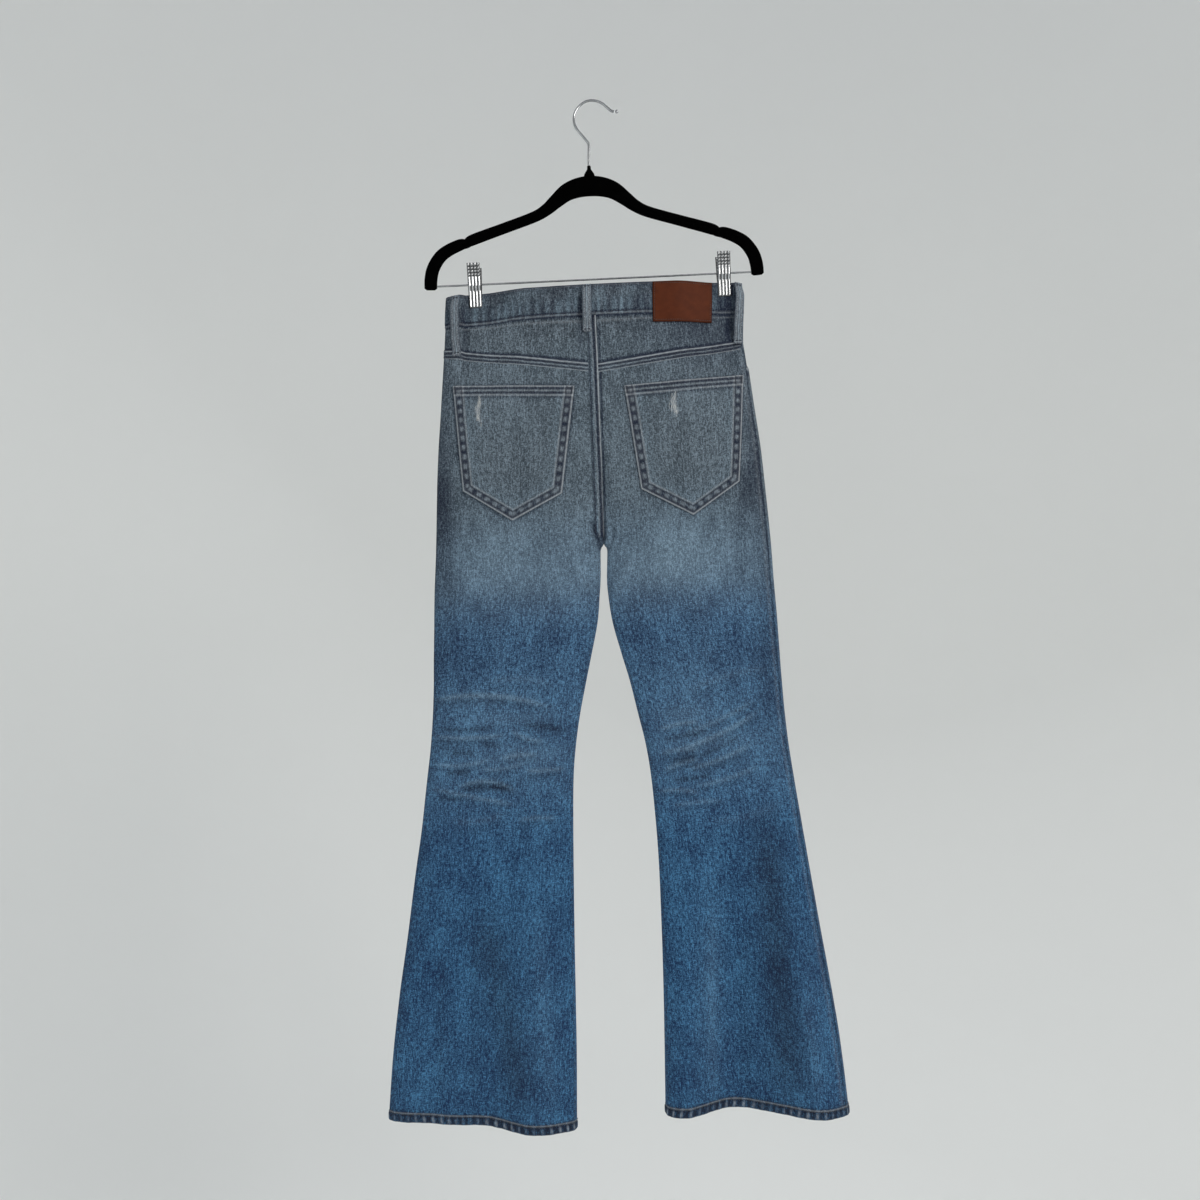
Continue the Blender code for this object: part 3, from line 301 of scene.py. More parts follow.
CREASES = [
    Crease(layer, *row)
    for layer, rows in (
        (Layer.BACK, (
            # Behind the left knee
            (-210, 773, -65, 788, -10, 3.4, 1.1, 0.45), (-204, 812, -133, 811, 2, 3.2, -0.9, -0.52),
            (-96, 812, -43, 822, -3, 4.5, -0.9, -0.42), (-189, 843, -159, 844, 0, 3.4, -0.7, -0.52),
            (-149, 833, -123, 835, 1, 3.2, -0.7, -0.52), (-210, 821, -123, 822.5, 2, 2.8, 0.9, 0.4),
            (-111, 817, -70, 833, 3, 2.8, 0.8, 0.35), (-123, 852, -80, 850, -2, 2.8, 0.8, 0.35),
            (-91, 870, -43, 870, 1, 3, 0.8, 0.4), (-197, 870, -164, 868, 0, 3.6, -0.8, -0.6),
            (-175, 893, -109, 893, -2, 5.5, -1.1, -0.48), (-177, 886, -109, 894, -9, 2.8, 1.1, 0.45),
            (-211, 889, -111, 912, 0, 2.8, 0.8, 0.35), (-207, 902, -175, 902, 0, 3.4, -0.7, -0.45),
            (-101, 933, -54, 934, -2, 3, 0.7, 0.3), (-210, 857, -140, 853, 4, 2.8, 0.8, 0.3),
            (-150, 865, -96, 860, 3, 2.6, 0.6, 0.25), (-140, 752, -60, 760, -5, 5, 0.6, 0.12),
            (-186, 932, -120, 925, 4, 5, 0.6, 0.14),
            # Behind the right knee
            (82, 825, 131, 817, -2, 2.8, 0.9, 0.4), (84, 856, 131, 853, -2, 2.8, 0.8, 0.35),
            (89, 878, 131, 866, -2, 2.8, 0.9, 0.4), (82, 906, 131, 909, -3, 2.8, 0.8, 0.35),
            (100, 925, 160, 921, -2, 3, 0.6, 0.25), (111, 851, 207, 809, 4, 3, 1.1, 0.42),
            (122, 877, 197, 851, 3, 3, 1.0, 0.4), (118, 830, 200, 795, 3, 3, 0.8, 0.3),
            (130, 900, 205, 880, 3, 3, 0.8, 0.3), (88, 838, 140, 832, 0, 4, -0.8, -0.52),
            (95, 868, 128, 862, 0, 3.5, -0.7, -0.52), (98, 893, 150, 888, 0, 4, -0.8, -0.52),
            (132, 862, 186, 838, 2, 4, -0.8, -0.45), (120, 775, 222, 752, -4, 5, 0.6, 0.12),
            (150, 948, 236, 930, 4, 6, 0.5, 0.1),
            # Beside the centre seam, with a painted shadow along the fell, and where the legs meet, with
            # painted shade in the crotch
            (1.8, 292, 11, 560, 0, 1.6, 0, -0.9), (-9, 548, 4, 590, -2, 3.2, -2.3, -0.7),
            (20, 556, 13, 588, 3, 3, -2, -0.5), (-44, 566, -8, 592, 3, 5, -1, -0.14),
            (64, 556, 20, 584, -4, 5, -1, -0.12), (-30, 600, -6, 640, 3, 5, 0.8, 0.1),
            (46, 600, 24, 650, -3, 5, 0.8, 0.1),
            # Under the pockets and down the thighs; the two darker ones at the sides are painted shade
            (-168, 566, -130, 604, 4, 9, 0.9, 0.05), (168, 560, 138, 610, -5, 9, 0.9, 0.05),
            (196, 470, 184, 640, -6, 10, -1.4, -0.3), (-197, 470, -190, 660, 4, 9, -0.9, -0.2),
            (-140, 640, -120, 730, 5, 11, 0.8, 0.04), (120, 640, 140, 740, -5, 11, 0.8, 0.04),
            # Down to the hems; the darker ones are painted shade in the flare's folds
            (-156, 1050, -104, 1300, 0, 25, -1.5, -0.42), (210, 950, 242, 1315, 0, 27, -1.5, -0.55),
            (-203, 1100, -207, 1300, 0, 8, -1, -0.14), (-161, 1080, -163, 1300, 0, 8, -1, -0.14),
            (188, 1080, 192, 1300, 0, 9, -1, -0.16), (262, 1180, 282, 1310, -3, 8, 0.9, 0.05),
            (-76, 1060, -60, 1300, 4, 9, 1, 0.04), (148, 1060, 150, 1310, 3, 9, 1, 0.06),
        )),
        (Layer.FRONT, (
            # Over the front of the hips, the knees and the shins
            (-150, 520, -20, 572, 6, 5, 1, 0.3), (-160, 552, -14, 590, 7, 5, 1, 0.3),
            (160, 516, 34, 570, -6, 5, 1, 0.3), (168, 548, 28, 590, -7, 5, 1, 0.3),
            (-196, 806, -60, 814, 7, 4.5, 0.9, 0.25), (-190, 856, -50, 846, -7, 4.5, 0.9, 0.25),
            (-180, 830, -90, 836, 5, 3.5, 0.7, 0.2), (78, 816, 214, 806, 7, 4.5, 0.9, 0.25),
            (86, 850, 220, 862, -7, 4.5, 0.9, 0.25), (110, 838, 200, 832, -5, 3.5, 0.7, 0.2),
            (-196, 1100, -208, 1300, 4, 10, 1.3, 0.04), (210, 1100, 240, 1310, -4, 10, 1.3, 0.04),
            # The front rise and the fly's curved stitching
            (-3.5, 240, -2.5, 284, 0, 1.3, 0, -0.95), (-2, 288, 9, 576, 0, 1.5, -0.5, -0.95),
            (1.2, 288, 12, 572, 0, 1.6, 0.4, 0.35),
            (-35.5, 290, -33, 372, 0, 1.3, -0.25, -0.8), (-29.5, 290, -27, 368, 0, 1.3, -0.25, -0.7),
            (-33, 372, -5, 413, 5, 1.3, -0.25, -0.8), (-27, 368, 0, 408, 5, 1.3, -0.25, -0.7),
        )),
    )
    for row in rows
]


class WashRow(NamedTuple):
    """The washed tones of the denim at a drop: how grey, how faded and how dark it is."""

    drop: float
    grey: float
    fade: float
    dark: float


WASH_ROWS = [
    WashRow(*row) for row in (
        (240, 1, 0.02, 0.14), (290, 1, 0.05, 0.04), (340, 1, 0.14, 0), (420, 1, 0.2, 0), (520, 0.95, 0.24, 0),
        (575, 0.7, 0.38, 0), (625, 0.46, 0.4, 0), (655, 0.3, 0.2, 0), (690, 0.22, 0.05, 0),
        (760, 0.18, 0.05, 0), (810, 0.07, 0.13, 0), (880, 0.05, 0.13, 0), (960, 0.02, 0.02, 0.04),
        (1100, 0, 0, 0.04), (1240, 0, 0.01, 0), (1345, 0, 0, 0.06),
    )
]


class Spot(NamedTuple):
    """A soft spot that is more faded, or darker where the amount is below zero."""

    layer: Layer
    x: float
    drop: float
    half_width: float
    half_height: float
    amount: float


SPOTS = [
    Spot(layer, *row)
    for layer, rows in (
        (Layer.BACK, (
            (-128, 592, 56, 36, 0.2), (98, 596, 58, 38, 0.34), (-60, 630, 40, 40, 0.08),
            # Among these, (212, 470), (-206, 520), (-190, 700) and (224, 700) paint shade along the side
            # folds, and (8, 568) paints shade in the crotch.
            (-105, 404, 60, 26, 0.05), (110, 398, 60, 24, 0.05), (212, 470, 26, 120, -0.62),
            (-206, 520, 20, 130, -0.6), (8, 568, 4, 13, -0.85), (-150, 836, 80, 60, 0.05),
            (120, 790, 50, 70, 0.06), (148, 1170, 20, 130, 0.08), (-70, 1190, 26, 130, 0.05),
            (276, 1200, 16, 120, 0.04), (-190, 700, 24, 90, -0.1), (224, 700, 22, 150, -0.3),
            (-30, 330, 50, 22, 0.06), (60, 318, 60, 22, 0.06), (135, 300, 80, 60, -0.62),
            (-150, 775, 60, 14, 0.09), (-110, 800, 60, 10, 0.1), (-90, 850, 50, 15, 0.12),
            (-130, 882, 60, 8, -0.16), (-190, 835, 24, 9, -0.26), (-70, 815, 26, 10, -0.24),
            (110, 805, 34, 12, 0.1), (150, 842, 60, 13, 0.1), (108, 864, 26, 7, -0.2),
            # From (-172, 300) on, the last four are painted shadows beside the back belt loops.
            (165, 872, 50, 8, -0.16), (185, 800, 36, 18, -0.12), (-172, 300, 5, 40, -0.5),
            (171, 300, 5, 40, -0.5), (-21, 295, 4, 36, -0.5), (-4, 295, 4, 30, -0.45),
        )),
        (Layer.FRONT, (
            (-118, 640, 60, 160, 0.26), (130, 640, 60, 160, 0.26),
        )),
    )
    for row in rows
]


class Corner(NamedTuple):
    """A corner of a patch pocket: its distance across and its drop."""

    across: float
    drop: float


class PocketCut(NamedTuple):
    """The five corners of a patch pocket."""

    inner_top: Corner
    outer_top: Corner
    inner_foot: Corner
    outer_foot: Corner
    tip: Corner


POCKETS = {
    Side.LEFT: PocketCut(
        Corner(-29, 374), Corner(-187, 365), Corner(-45, 512), Corner(-173, 503), Corner(-109, 544.5)
    ),
    Side.RIGHT: PocketCut(
        Corner(35, 377), Corner(190, 369), Corner(57, 511.5), Corner(184.5, 507.5), Corner(124.5, 548.5)
    ),
}
FRAYS = {Side.LEFT: (-152.5, 381.0, 417.0, 4.5), Side.RIGHT: (100.0, 390.0, 417.0, 5.5)}


class Loop(NamedTuple):
    """A belt loop: its node, layer, distance across at the waist and at its foot, and its length."""

    node: str
    layer: Layer
    top_across: float
    foot_across: float
    length: float


LOOPS = (
    Loop("belt_loop_back_centre", Layer.BACK, -13.5, -12.5, 62.0),
    Loop("belt_loop_back_left", Layer.BACK, -184.0, -181.5, 80.0),
    Loop("belt_loop_back_right", Layer.BACK, 183.6, 184.6, 81.0),
    Loop("belt_loop_front_left", Layer.FRONT, -84.0, -82.0, 56.0),
    Loop("belt_loop_front_right", Layer.FRONT, 76.0, 78.0, 56.0),
)
LOOP_STAGES = ((0.0, 0.0), (0.07, 0.0), (0.2, 1.0), (0.5, 1.0), (0.76, 0.9), (0.9, 0.0), (1.0, 0.0))


class ArmStation(NamedTuple):
    """The middle of a hanger arm in the hanger's frame, and its half width."""

    across: float
    up: float
    half_width: float


ARM = [
    ArmStation(*row) for row in (
        (0, -21.3, 13.3), (16, -23.0, 12.8), (31, -28.5, 11.4), (45, -39.0, 9.4), (58, -49.5, 7.9),
        (75, -58.5, 7.1), (115, -71.5, 7.0), (156, -84.6, 7.2), (164.5, -89.2, 5.9), (173, -90.4, 7.4),
        (188, -96.6, 7.9), (200, -105.0, 8.2), (209.5, -119.0, 8.4), (213.5, -133.0, 8.5),
        (214.5, -148.0, 8.3),
    )
]
HOOK_WIRE = (
    (-10.8, -82.3), (-10.8, -68.0), (-10.9, -55.5), (-13.6, -50.2), (-20.7, -41.7), (-27.2, -33.6),
    (-30.2, -24.0), (-29.3, -14.6), (-24.5, -6.0), (-16.8, 0.4), (-9.0, 2.8), (0.0, 2.0),
    (7.4, -1.4), (13.6, -6.6), (18.4, -10.6), (22.6, -11.9),
)
COLLAR_PROFILE = (
    (0.2, 5.0), (1.9, 5.0), (2.35, 4.6), (2.6, 0.5), (4.2, -2.0), (6.2, -5.0), (7.2, -8.2), (7.0, -8.4),
    (0.2, -8.4),
)


class JawStation(NamedTuple):
    """A height on a clip plate above the rod, and its inner face's distance off the rod."""

    up: float
    off: float


JAW = [
    JawStation(*row) for row in (
        (-31.0, 3.05), (-20.0, 3.05), (-9.5, 3.05), (-3.0, 5.6), (4.0, 6.1), (9.0, 7.0), (17.0, 8.6),
        (25.4, 10.2),
    )
]


def ease(value: Array) -> Array:
    """Goes smoothly from 0 to 1 as the value does."""
    value = np.clip(value, 0.0, 1.0)
    return value * value * (3.0 - 2.0 * value)


def mix(start: Array, end: Array, share: Array) -> Array:
    """Blends two numbers or arrays."""
    return start + (end - start) * share


def bell(distance: Array, width: float) -> Array:
    """A soft bump that is 1 at no distance and fades over the width."""
    return np.exp(-((distance / width) ** 2))


def bands(distance: Array, rows: Bands) -> Array:
    """Adds up soft bands across a distance."""
    return sum(weight * bell(distance - place, width) for weight, place, width in rows)


def share_across(way: Array) -> Array:
    """The share of the width at a way round one layer."""
    return 0.5 - 0.5 * np.cos(np.pi * way)


def smooth_read(spots: Array, values: Array, place: Array) -> Array:
    """Reads a column of a table between its rows, on a Catmull-Rom curve.

    Args:
        spots: The places of the rows, rising.
        values: The column's values.
        place: Where to read.

    Returns:
        The values there, in the shape of place.
    """
    last = len(spots) - 1
    place = np.clip(place, spots[0], spots[last])
    index = np.clip(np.searchsorted(spots, place, side="left") - 1, 0, last - 1)
    near = [np.clip(index + step, 0, last) for step in (-1, 0, 1, 2)]
    at = [spots[one] for one in near]
    val = [values[one] for one in near]
    span = at[2] - at[1]
    share = (place - at[1]) / span
    slope_1 = (val[2] - val[0]) / np.maximum(at[2] - at[0], 1.0) * span
    slope_2 = (val[3] - val[1]) / np.maximum(at[3] - at[1], 1.0) * span
    square = share * share
    cube = square * share
    return (
        (2 * cube - 3 * square + 1) * val[1]
        + (cube - 2 * square + share) * slope_1
        + (3 * square - 2 * cube) * val[2]
        + (cube - square) * slope_2
    )


def matched(*values: Array) -> list[Array]:
    """Brings numbers and arrays to one shape."""
    return np.broadcast_arrays(*(np.asarray(value, float) for value in values))


def reach_along(line: Array) -> Array:
    """The distance along a line at each of its points."""
    return np.concatenate(([0.0], np.cumsum(np.linalg.norm(np.diff(line, axis=0), axis=1))))


def read_line(line: Array, reach: Array, spots: Array) -> Array:
    """The points at distances along a line."""
    return np.stack([np.interp(spots, reach, column) for column in line.T], axis=1)


def circle(corners: int) -> tuple[Array, Array]:
    """The cosines and sines of corners round a circle."""
    angles = np.linspace(0.0, 2.0 * np.pi, corners, endpoint=False)
    return np.cos(angles), np.sin(angles)


def unit(vectors: Array) -> Array:
    """Scales vectors to length 1."""
    return vectors / np.maximum(np.linalg.norm(vectors, axis=-1, keepdims=True), 1e-9)


def resample(corners: Sequence[tuple[float, float]], step: float) -> Array:
    """Spreads points evenly along a bent line.

    Args:
        corners: The line's corners.
        step: The distance between points.

    Returns:
        The points, one row each.
    """
    line = np.array(corners, float)
    reach = reach_along(line)
    return read_line(line, reach, np.linspace(0.0, reach[-1], max(int(reach[-1] / step), 2) + 1))


def smooth_path(points: Sequence[Sequence[float]], steps: int) -> Array:
    """Points along a Catmull-Rom curve through the given ones.

    Args:
        points: The points to pass through.
        steps: Steps between two of them.

    Returns:
        The curve's points.
    """
    line = np.array(points, float)
    last = len(line) - 1
    place = np.linspace(0.0, last, last * steps + 1)
    spots = np.arange(last + 1, dtype=float)
    return np.stack([smooth_read(spots, column, place) for column in line.T], axis=1)


class GarmentForm:
    """The garment's form: a ring round each leg and the seat at every drop, with its creases."""

    def __init__(self) -> None:
        """Reads the tables into columns."""
        self.spots = np.array([row.drop for row in SECTIONS], float)
        self.columns = {
            name: np.array([getattr(row, name) for row in SECTIONS], float) for name in Section._fields[1:]
        }
        self.wash_spots = np.array([row.drop for row in WASH_ROWS], float)
        self.wash_columns = np.array([row[1:] for row in WASH_ROWS], float)

    def read(self, name: str, drop: Array) -> Array:
        """Reads a column of the sections at a drop."""
        return smooth_read(self.spots, self.columns[name], drop)

    def centre_seam(self, drop: Array) -> Array:
        """The centre seam's distance across, above the crotch."""
        capped = np.minimum(drop, CROTCH)
        return 0.5 * (self.read("left_in", capped) + self.read("right_in", capped))

    def inner_edge(self, side: Side, drop: Array) -> Array:
        """The centre seam above the crotch, and the inseam's fold below it."""
        above = self.centre_seam(drop) + 0.3 * SEAM_GAP * side.value
        parted = self.read(f"{side.word}_in", drop)
        parted = parted + CROTCH_PARTING * side.value * (1.0 - ease((drop - CROTCH) / PARTING_LENGTH))
        start = self.centre_seam(np.full_like(drop, CROTCH))
        below = mix(start, parted, ease((drop - CROTCH) / CROTCH_ROUNDING))
        return np.where(drop <= CROTCH, above, below)

    def outer_edge(self, side: Side, drop: Array) -> Array:
        """The side fold's distance across."""
        return self.read(f"{side.word}_out", drop)

    @staticmethod
    def lens(across: Array, opened: Array) -> Array:
        """The share of the full depth between the inner end and the side fold."""
        away = np.abs(2.0 * across - 1.0)
        rounded = np.maximum(1.0 - away**LAYER_ROUNDNESS, 0.0) ** (1.0 / LAYER_ROUNDNESS)
        return np.where(across < 0.5, opened + (1.0 - opened) * rounded, rounded)

    @staticmethod
    def clip_centre(side: Side) -> float:
        """The clip's distance across at the waistband."""
        down = ROD_LEVEL - JAW_DROP
        return COLLAR[0] + CLIP_PLACE[side] * math.cos(HANGER_ANGLE) - down * math.sin(HANGER_ANGLE)

    def grip(self, x: Array, drop: Array) -> Array:
        """How fully the clips press the layers together: 1 under a clip's jaws."""
        strongest = np.zeros_like(x)
        for side in Side:
            away = x - self.clip_centre(side)
            reach = np.where((away > 0) == (side is Side.RIGHT), PINCH_FADE_OUT, PINCH_FADE_IN)
            strongest = np.maximum(strongest, 1.0 - ease((np.abs(away) - PINCH_FLAT) / reach))
        return strongest * (1.0 - ease((drop - PINCH_START) / (PINCH_END - PINCH_START)))

    def swell(self, side: Side, behind: Array, across: Array, drop: Array) -> Array:
        """The height of the leg's hanging folds."""
        total = np.zeros_like(across)
        for fold in FOLDS:
            if fold.side is not side:
                continue
            grown = ease((drop - fold.start) / (HEM_LEVEL - fold.start))
            away = (across - mix(fold.across_top, fold.across_hem, grown)) / fold.half_width
            shown = behind if fold.layer is Layer.BACK else ~behind
            total += np.where(shown, fold.swell * grown * np.exp(-FOLD_FALLOFF * away * away), 0.0)
        return total

    def ring(self, side: Side, turn: Array, drop: Array) -> Array:
        """A point of the cloth's smooth outer face, in millimetres.

        Args:
            side: The leg's side.
            turn: The turn round the ring.
            drop: The drop below the hook.

        Returns:
            Points, one for each turn and drop.
        """
        turn, drop = matched(turn, drop)
        below = drop > CROTCH
        turn = np.where(below & ((turn < 0.0) | (turn > 2.0)), np.mod(turn, 2.0), turn)
        behind = turn <= 1.0
        way = np.where(behind, turn, 2.0 - turn)
        across = share_across(np.maximum(way, 0.0))
        inner = self.inner_edge(side, drop)
        x = inner + (self.outer_edge(side, drop) - inner) * across
        full = np.where(behind, self.read("back", drop), self.read("front", drop))
        opened = 1.0 - ease((drop - CLOSING_START) / (CROTCH - CLOSING_START)) ** CLOSING_POWER
        depth = full * self.lens(across, opened)
        least = CENTRE_STANDOFF * np.minimum(1.0, (1.0 - across) * SIDE_FOLD_SHARPNESS)
        depth = np.where(below, depth, np.maximum(depth, least))
        depth = mix(depth, np.minimum(depth, PINCH_DEPTH), self.grip(x, drop))
        edge = np.minimum(1.0, FOLD_EDGE_FADE * self.lens(across, np.zeros_like(across)))
        depth = depth + self.swell(side, behind, across, drop) * edge
        return np.stack([x, np.where(behind, -depth, depth), TILT * x - drop], axis=-1)

    def outward(self, side: Side, turn: Array, drop: Array) -> Array:
        """The outward direction of the cloth at a place."""
        turn, drop = matched(turn, drop)
        lowest = np.where(drop <= CROTCH, TURN_STEP, 0.0)
        near = np.clip(turn, lowest, 2.0 - lowest)
        along = self.ring(side, near + TURN_STEP, drop) - self.ring(side, near - TURN_STEP, drop)
        down = self.ring(side, near, drop + DROP_STEP) - self.ring(side, near, drop - DROP_STEP)
        normal = np.cross(along, down)
        return unit(normal if side is Side.LEFT else -normal)

    def turn_at(self, side: Side, layer: Layer, x: Array, drop: Array) -> Array:
        """The turn round the ring that has a given distance across."""
        inner = self.inner_edge(side, drop)
        across = (x - inner) / (self.outer_edge(side, drop) - inner)
        way = np.arccos(1.0 - 2.0 * np.clip(across, 0.0, 1.0)) / np.pi
        return way if layer is Layer.BACK else 2.0 - way

    @staticmethod
    def crease_parts(crease: Crease, x: Array, drop: Array) -> tuple[Array, Array]:
        """The distance below a crease's line, and its strength between its ends.

        Args:
            crease: The crease.
            x: Distances across.
            drop: Drops below the hook.

        Returns:
            The signed distance to the line and the strength from 0 to 1.
        """
        way = np.array([crease.x_end - crease.x_start, crease.drop_end - crease.drop_start])
        length = float(np.hypot(*way))
        way = way / length
        along = ((x - crease.x_start) * way[0] + (drop - crease.drop_start) * way[1]) / length
        aside = -(x - crease.x_start) * way[1] + (drop - crease.drop_start) * way[0]
        inside = np.clip(along, 0.0, 1.0)
        aside = aside - crease.bow * 4.0 * inside * (1.0 - inside) * np.sign(way[0] + 1e-6)
        strength = ease((along + 0.12) / 0.3) * ease((1.12 - along) / 0.3)
        return aside, strength

    def relief(self, side: Side, turn: Array, drop: Array) -> Array:
        """The height of creases and soft rumples on the cloth.

        Args:
            side: The leg's side.
            turn: The turn round the ring.
            drop: The drop below the hook.

        Returns:
            Heights above the smooth form, in millimetres.
        """
        turn, drop = matched(turn, drop)
        base = self.ring(side, turn, drop)
        x = base[..., 0]
        behind = turn <= 1.0
        height = 0.35 * np.sin(x / 17.0 + 1.7 * np.sin(drop / 53.0))
        height *= np.sin(drop / 37.0 + 0.9 * np.sin(x / 29.0))
        height += 0.22 * np.sin(x / 7.3 + 2.1 * np.sin(drop / 31.0)) * np.sin(drop / 15.0 + x / 41.0)
        for crease in CREASES:
            shown = behind if crease.layer is Layer.BACK else ~behind
            aside, strength = self.crease_parts(crease, x, drop)
            line = bell(aside, crease.width) - 0.45 * bell(aside - 1.9 * crease.width, crease.width)
            height += np.where(shown, crease.height * strength * line, 0.0)
        hem = hem_drop(side, turn)
        fluting = np.sin(x / 3.6 + 1.4 * np.sin(x / 21.0)) * np.exp(-np.maximum(hem - drop, 0.0) / 18.0)
        height += 0.28 * fluting * (drop > CROTCH)
        way = np.where(behind, turn, 2.0 - turn)
        across = share_across(np.maximum(way, 0.0))
        opened = np.where(drop <= CROTCH, 1.0, 0.0) * np.ones_like(across)
        edge = np.minimum(1.0, 2.2 * self.lens(across, opened) + 0.12)
        return height * edge * (1.0 - self.grip(x, drop))

    def surface(self, side: Side, turn: Array, drop: Array, lift: Array = 0.0) -> Array:
        """A point of the creased cloth, lifted outwards."""
        turn, drop = matched(turn, drop)
        height = (self.relief(side, turn, drop) + lift)[..., None]
        return self.ring(side, turn, drop) + self.outward(side, turn, drop) * height

    def place(self, layer: Layer, x: Array, drop: Array, lift: Array = 0.0) -> tuple[Array, Array]:
        """A point of the creased cloth by its distance across.

        Args:
            layer: The back or the front.
            x: Distances across.
            drop: Drops below the hook.
            lift: Heights above the cloth.

        Returns:
            The points and the outward directions.
        """
        x, drop, lift = matched(x, drop, lift)
        middle = 0.5 * (self.inner_edge(Side.LEFT, drop) + self.inner_edge(Side.RIGHT, drop))
        turns = [self.turn_at(side, layer, x, drop) for side in Side]
        points = [self.surface(side, turn, drop, lift) for side, turn in zip(Side, turns)]
        normals = [self.outward(side, turn, drop) for side, turn in zip(Side, turns)]
        left = (x < middle)[..., None]
        return np.where(left, *points), np.where(left, *normals)

    def wash(self, layer: Layer, x: Array, drop: Array) -> Array:
        """The washed tones of the denim at a place, with painted shade and shadows in its dark share.

        Args:
            layer: The back or the front.
            x: Distances across.
            drop: Drops below the hook.

        Returns:
            Shares of grey, fade, wear and dark, in a last axis of four; the dark share is darker dye with
            painted shade.
        """
        grey, fade, dark = (
            smooth_read(self.wash_spots, self.wash_columns[:, index], drop) for index in range(3)
        )
        worn = np.zeros_like(x)
        for spot in SPOTS:
            if spot.layer is not layer:
                continue
            shape = bell(x - spot.x, spot.half_width) * bell(drop - spot.drop, spot.half_height)
            fade = fade + max(spot.amount, 0.0) * shape
            dark = dark + max(-spot.amount, 0.0) * shape
        for crease in (*CREASES, *pocket_shadows()):
            if crease.layer is not layer:
                continue
            aside, strength = self.crease_parts(crease, x, drop)
            over = bell(aside + 0.3 * crease.width, 0.9 * crease.width) * strength
            under = bell(aside - 1.7 * crease.width, 1.1 * crease.width) * strength
            # Above zero: paler from wear along a ridge, with painted shade just below it; below zero: painted
            # shade along troughs, folds and raised pieces, and dark seam lines.
            fade = fade + 0.85 * max(crease.rubbed, 0.0) * over
            dark = dark + max(crease.rubbed, 0.0) * 0.75 * under + max(-crease.rubbed, 0.0) * over
        # Painted shade along the side folds, where the cloth turns away.
        for side in Side:
            near = (self.outer_edge(side, drop) - x) * side.value
            dark = dark + 0.30 * np.exp(-np.maximum(near, 0.0) / 9.0)
        return np.clip(np.stack([grey, fade, worn, dark], axis=-1), 0.0, 1.0)


def waist_top(x: Array) -> Array:
    """The waist edge's drop."""
    return WAIST_TOP - WAIST_RISE * (1.0 - (x / WAIST_HALF) ** 2)


def waist_seam(x: Array) -> Array:
    """The drop of the seam under the waistband."""
    return waist_top(x) + WAISTBAND_HEIGHT


def yoke_seam(side: Side, turn: Array) -> Array:
    """The drop of the seam under the back yoke."""
    return YOKE_CENTRE - YOKE_RISE[side] * share_across(np.minimum(turn, 1.0))


def hem_drop(side: Side, turn: Array) -> Array:
    """The hem's drop at a turn round the leg."""
    across = share_across(np.where(turn <= 1.0, turn, 2.0 - turn))
    hem = HEMS[side]
    bow = hem.middle - 0.5 * (hem.inner + hem.outer)
    return mix(hem.inner, hem.outer, across) + bow * 4.0 * across * (1.0 - across)


def pocket_shadows() -> list[Crease]:
    """The dark lines on the cloth round the two patch pockets."""
    lines = []
    for cut in POCKETS.values():
        ring = [cut.inner_top, cut.inner_foot, cut.tip, cut.outer_foot, cut.outer_top, cut.inner_top]
        lines += [Crease(Layer.BACK, *one, *two, 0.0, 2.4, 0.0, -0.65) for one, two in zip(ring, ring[1:])]
    return lines


FORM = GarmentForm()


def scoop_line(side: Side, turn: Array) -> Array:
    """The front panel's upper edge: the waist seam, dipping in a scoop at the front pocket."""
    level = waist_seam(FORM.ring(side, turn, YOKE_READING)[..., 0])
    share = np.maximum(share_across(2.0 - turn) - SCOOP_START, 0.0) / (1.0 - SCOOP_START)
    curve = SCOOP_DEPTH * (1.0 - np.maximum(1.0 - share**SCOOP_ROUND, 0.0) ** (1.0 / SCOOP_ROUND))
    return level + np.where(turn <= 1.0, SCOOP_DEPTH, curve)


def hanger_frame(points: Array) -> Array:
    """Moves points of the hanger's upright frame to the part's frame.

    Args:
        points: Distances across, out and up, in a last axis of three.

    Returns:
        The points in millimetres.
    """
    cosine, sine = math.cos(HANGER_ANGLE), math.sin(HANGER_ANGLE)
    across, out, up = points[..., 0], points[..., 1], points[..., 2]
    x = across * cosine - up * sine + COLLAR[0]
    z = across * sine + up * cosine + COLLAR[1]
    return np.stack([x, out, z], axis=-1)


def deselect_all() -> None:
    """Leaves edit mode and deselects every object."""
    if bpy.context.object and bpy.context.object.mode != "OBJECT":
        bpy.ops.object.mode_set(mode="OBJECT")
    bpy.ops.object.select_all(action="DESELECT")


def select_only(piece: Piece) -> None:
    """Makes a piece the only selected and active object."""
    deselect_all()
    piece.select_set(True)
    bpy.context.view_layer.objects.active = piece


def edit(piece: Piece, *steps: Callable[[], object]) -> None:
    """Runs edit-mode operators on the whole of a piece.

    Args:
        piece: The piece.
        steps: The operators to run, in order, with all of it selected before the first.
    """
    select_only(piece)
    bpy.ops.object.mode_set(mode="EDIT")
    bpy.ops.mesh.select_all(action="SELECT")
    for step in steps:
        step()
    bpy.ops.object.mode_set(mode="OBJECT")


def apply_modifier(piece: Piece, kind: str, **settings: object) -> None:
    """Adds a modifier to a piece and applies it.

    Args:
        piece: The piece.
        kind: The modifier's type.
        settings: Its settings.
    """
    select_only(piece)
    modifier = piece.modifiers.new(kind.lower(), kind)
    for name, value in settings.items():
        setattr(modifier, name, value)
    bpy.ops.object.modifier_apply(modifier=modifier.name)


def smooth(piece: Piece, degrees: float = 50.0) -> None:
    """Shades a piece smooth, with crisp edges past an angle."""
    select_only(piece)
    bpy.ops.object.shade_smooth_by_angle(angle=math.radians(degrees))


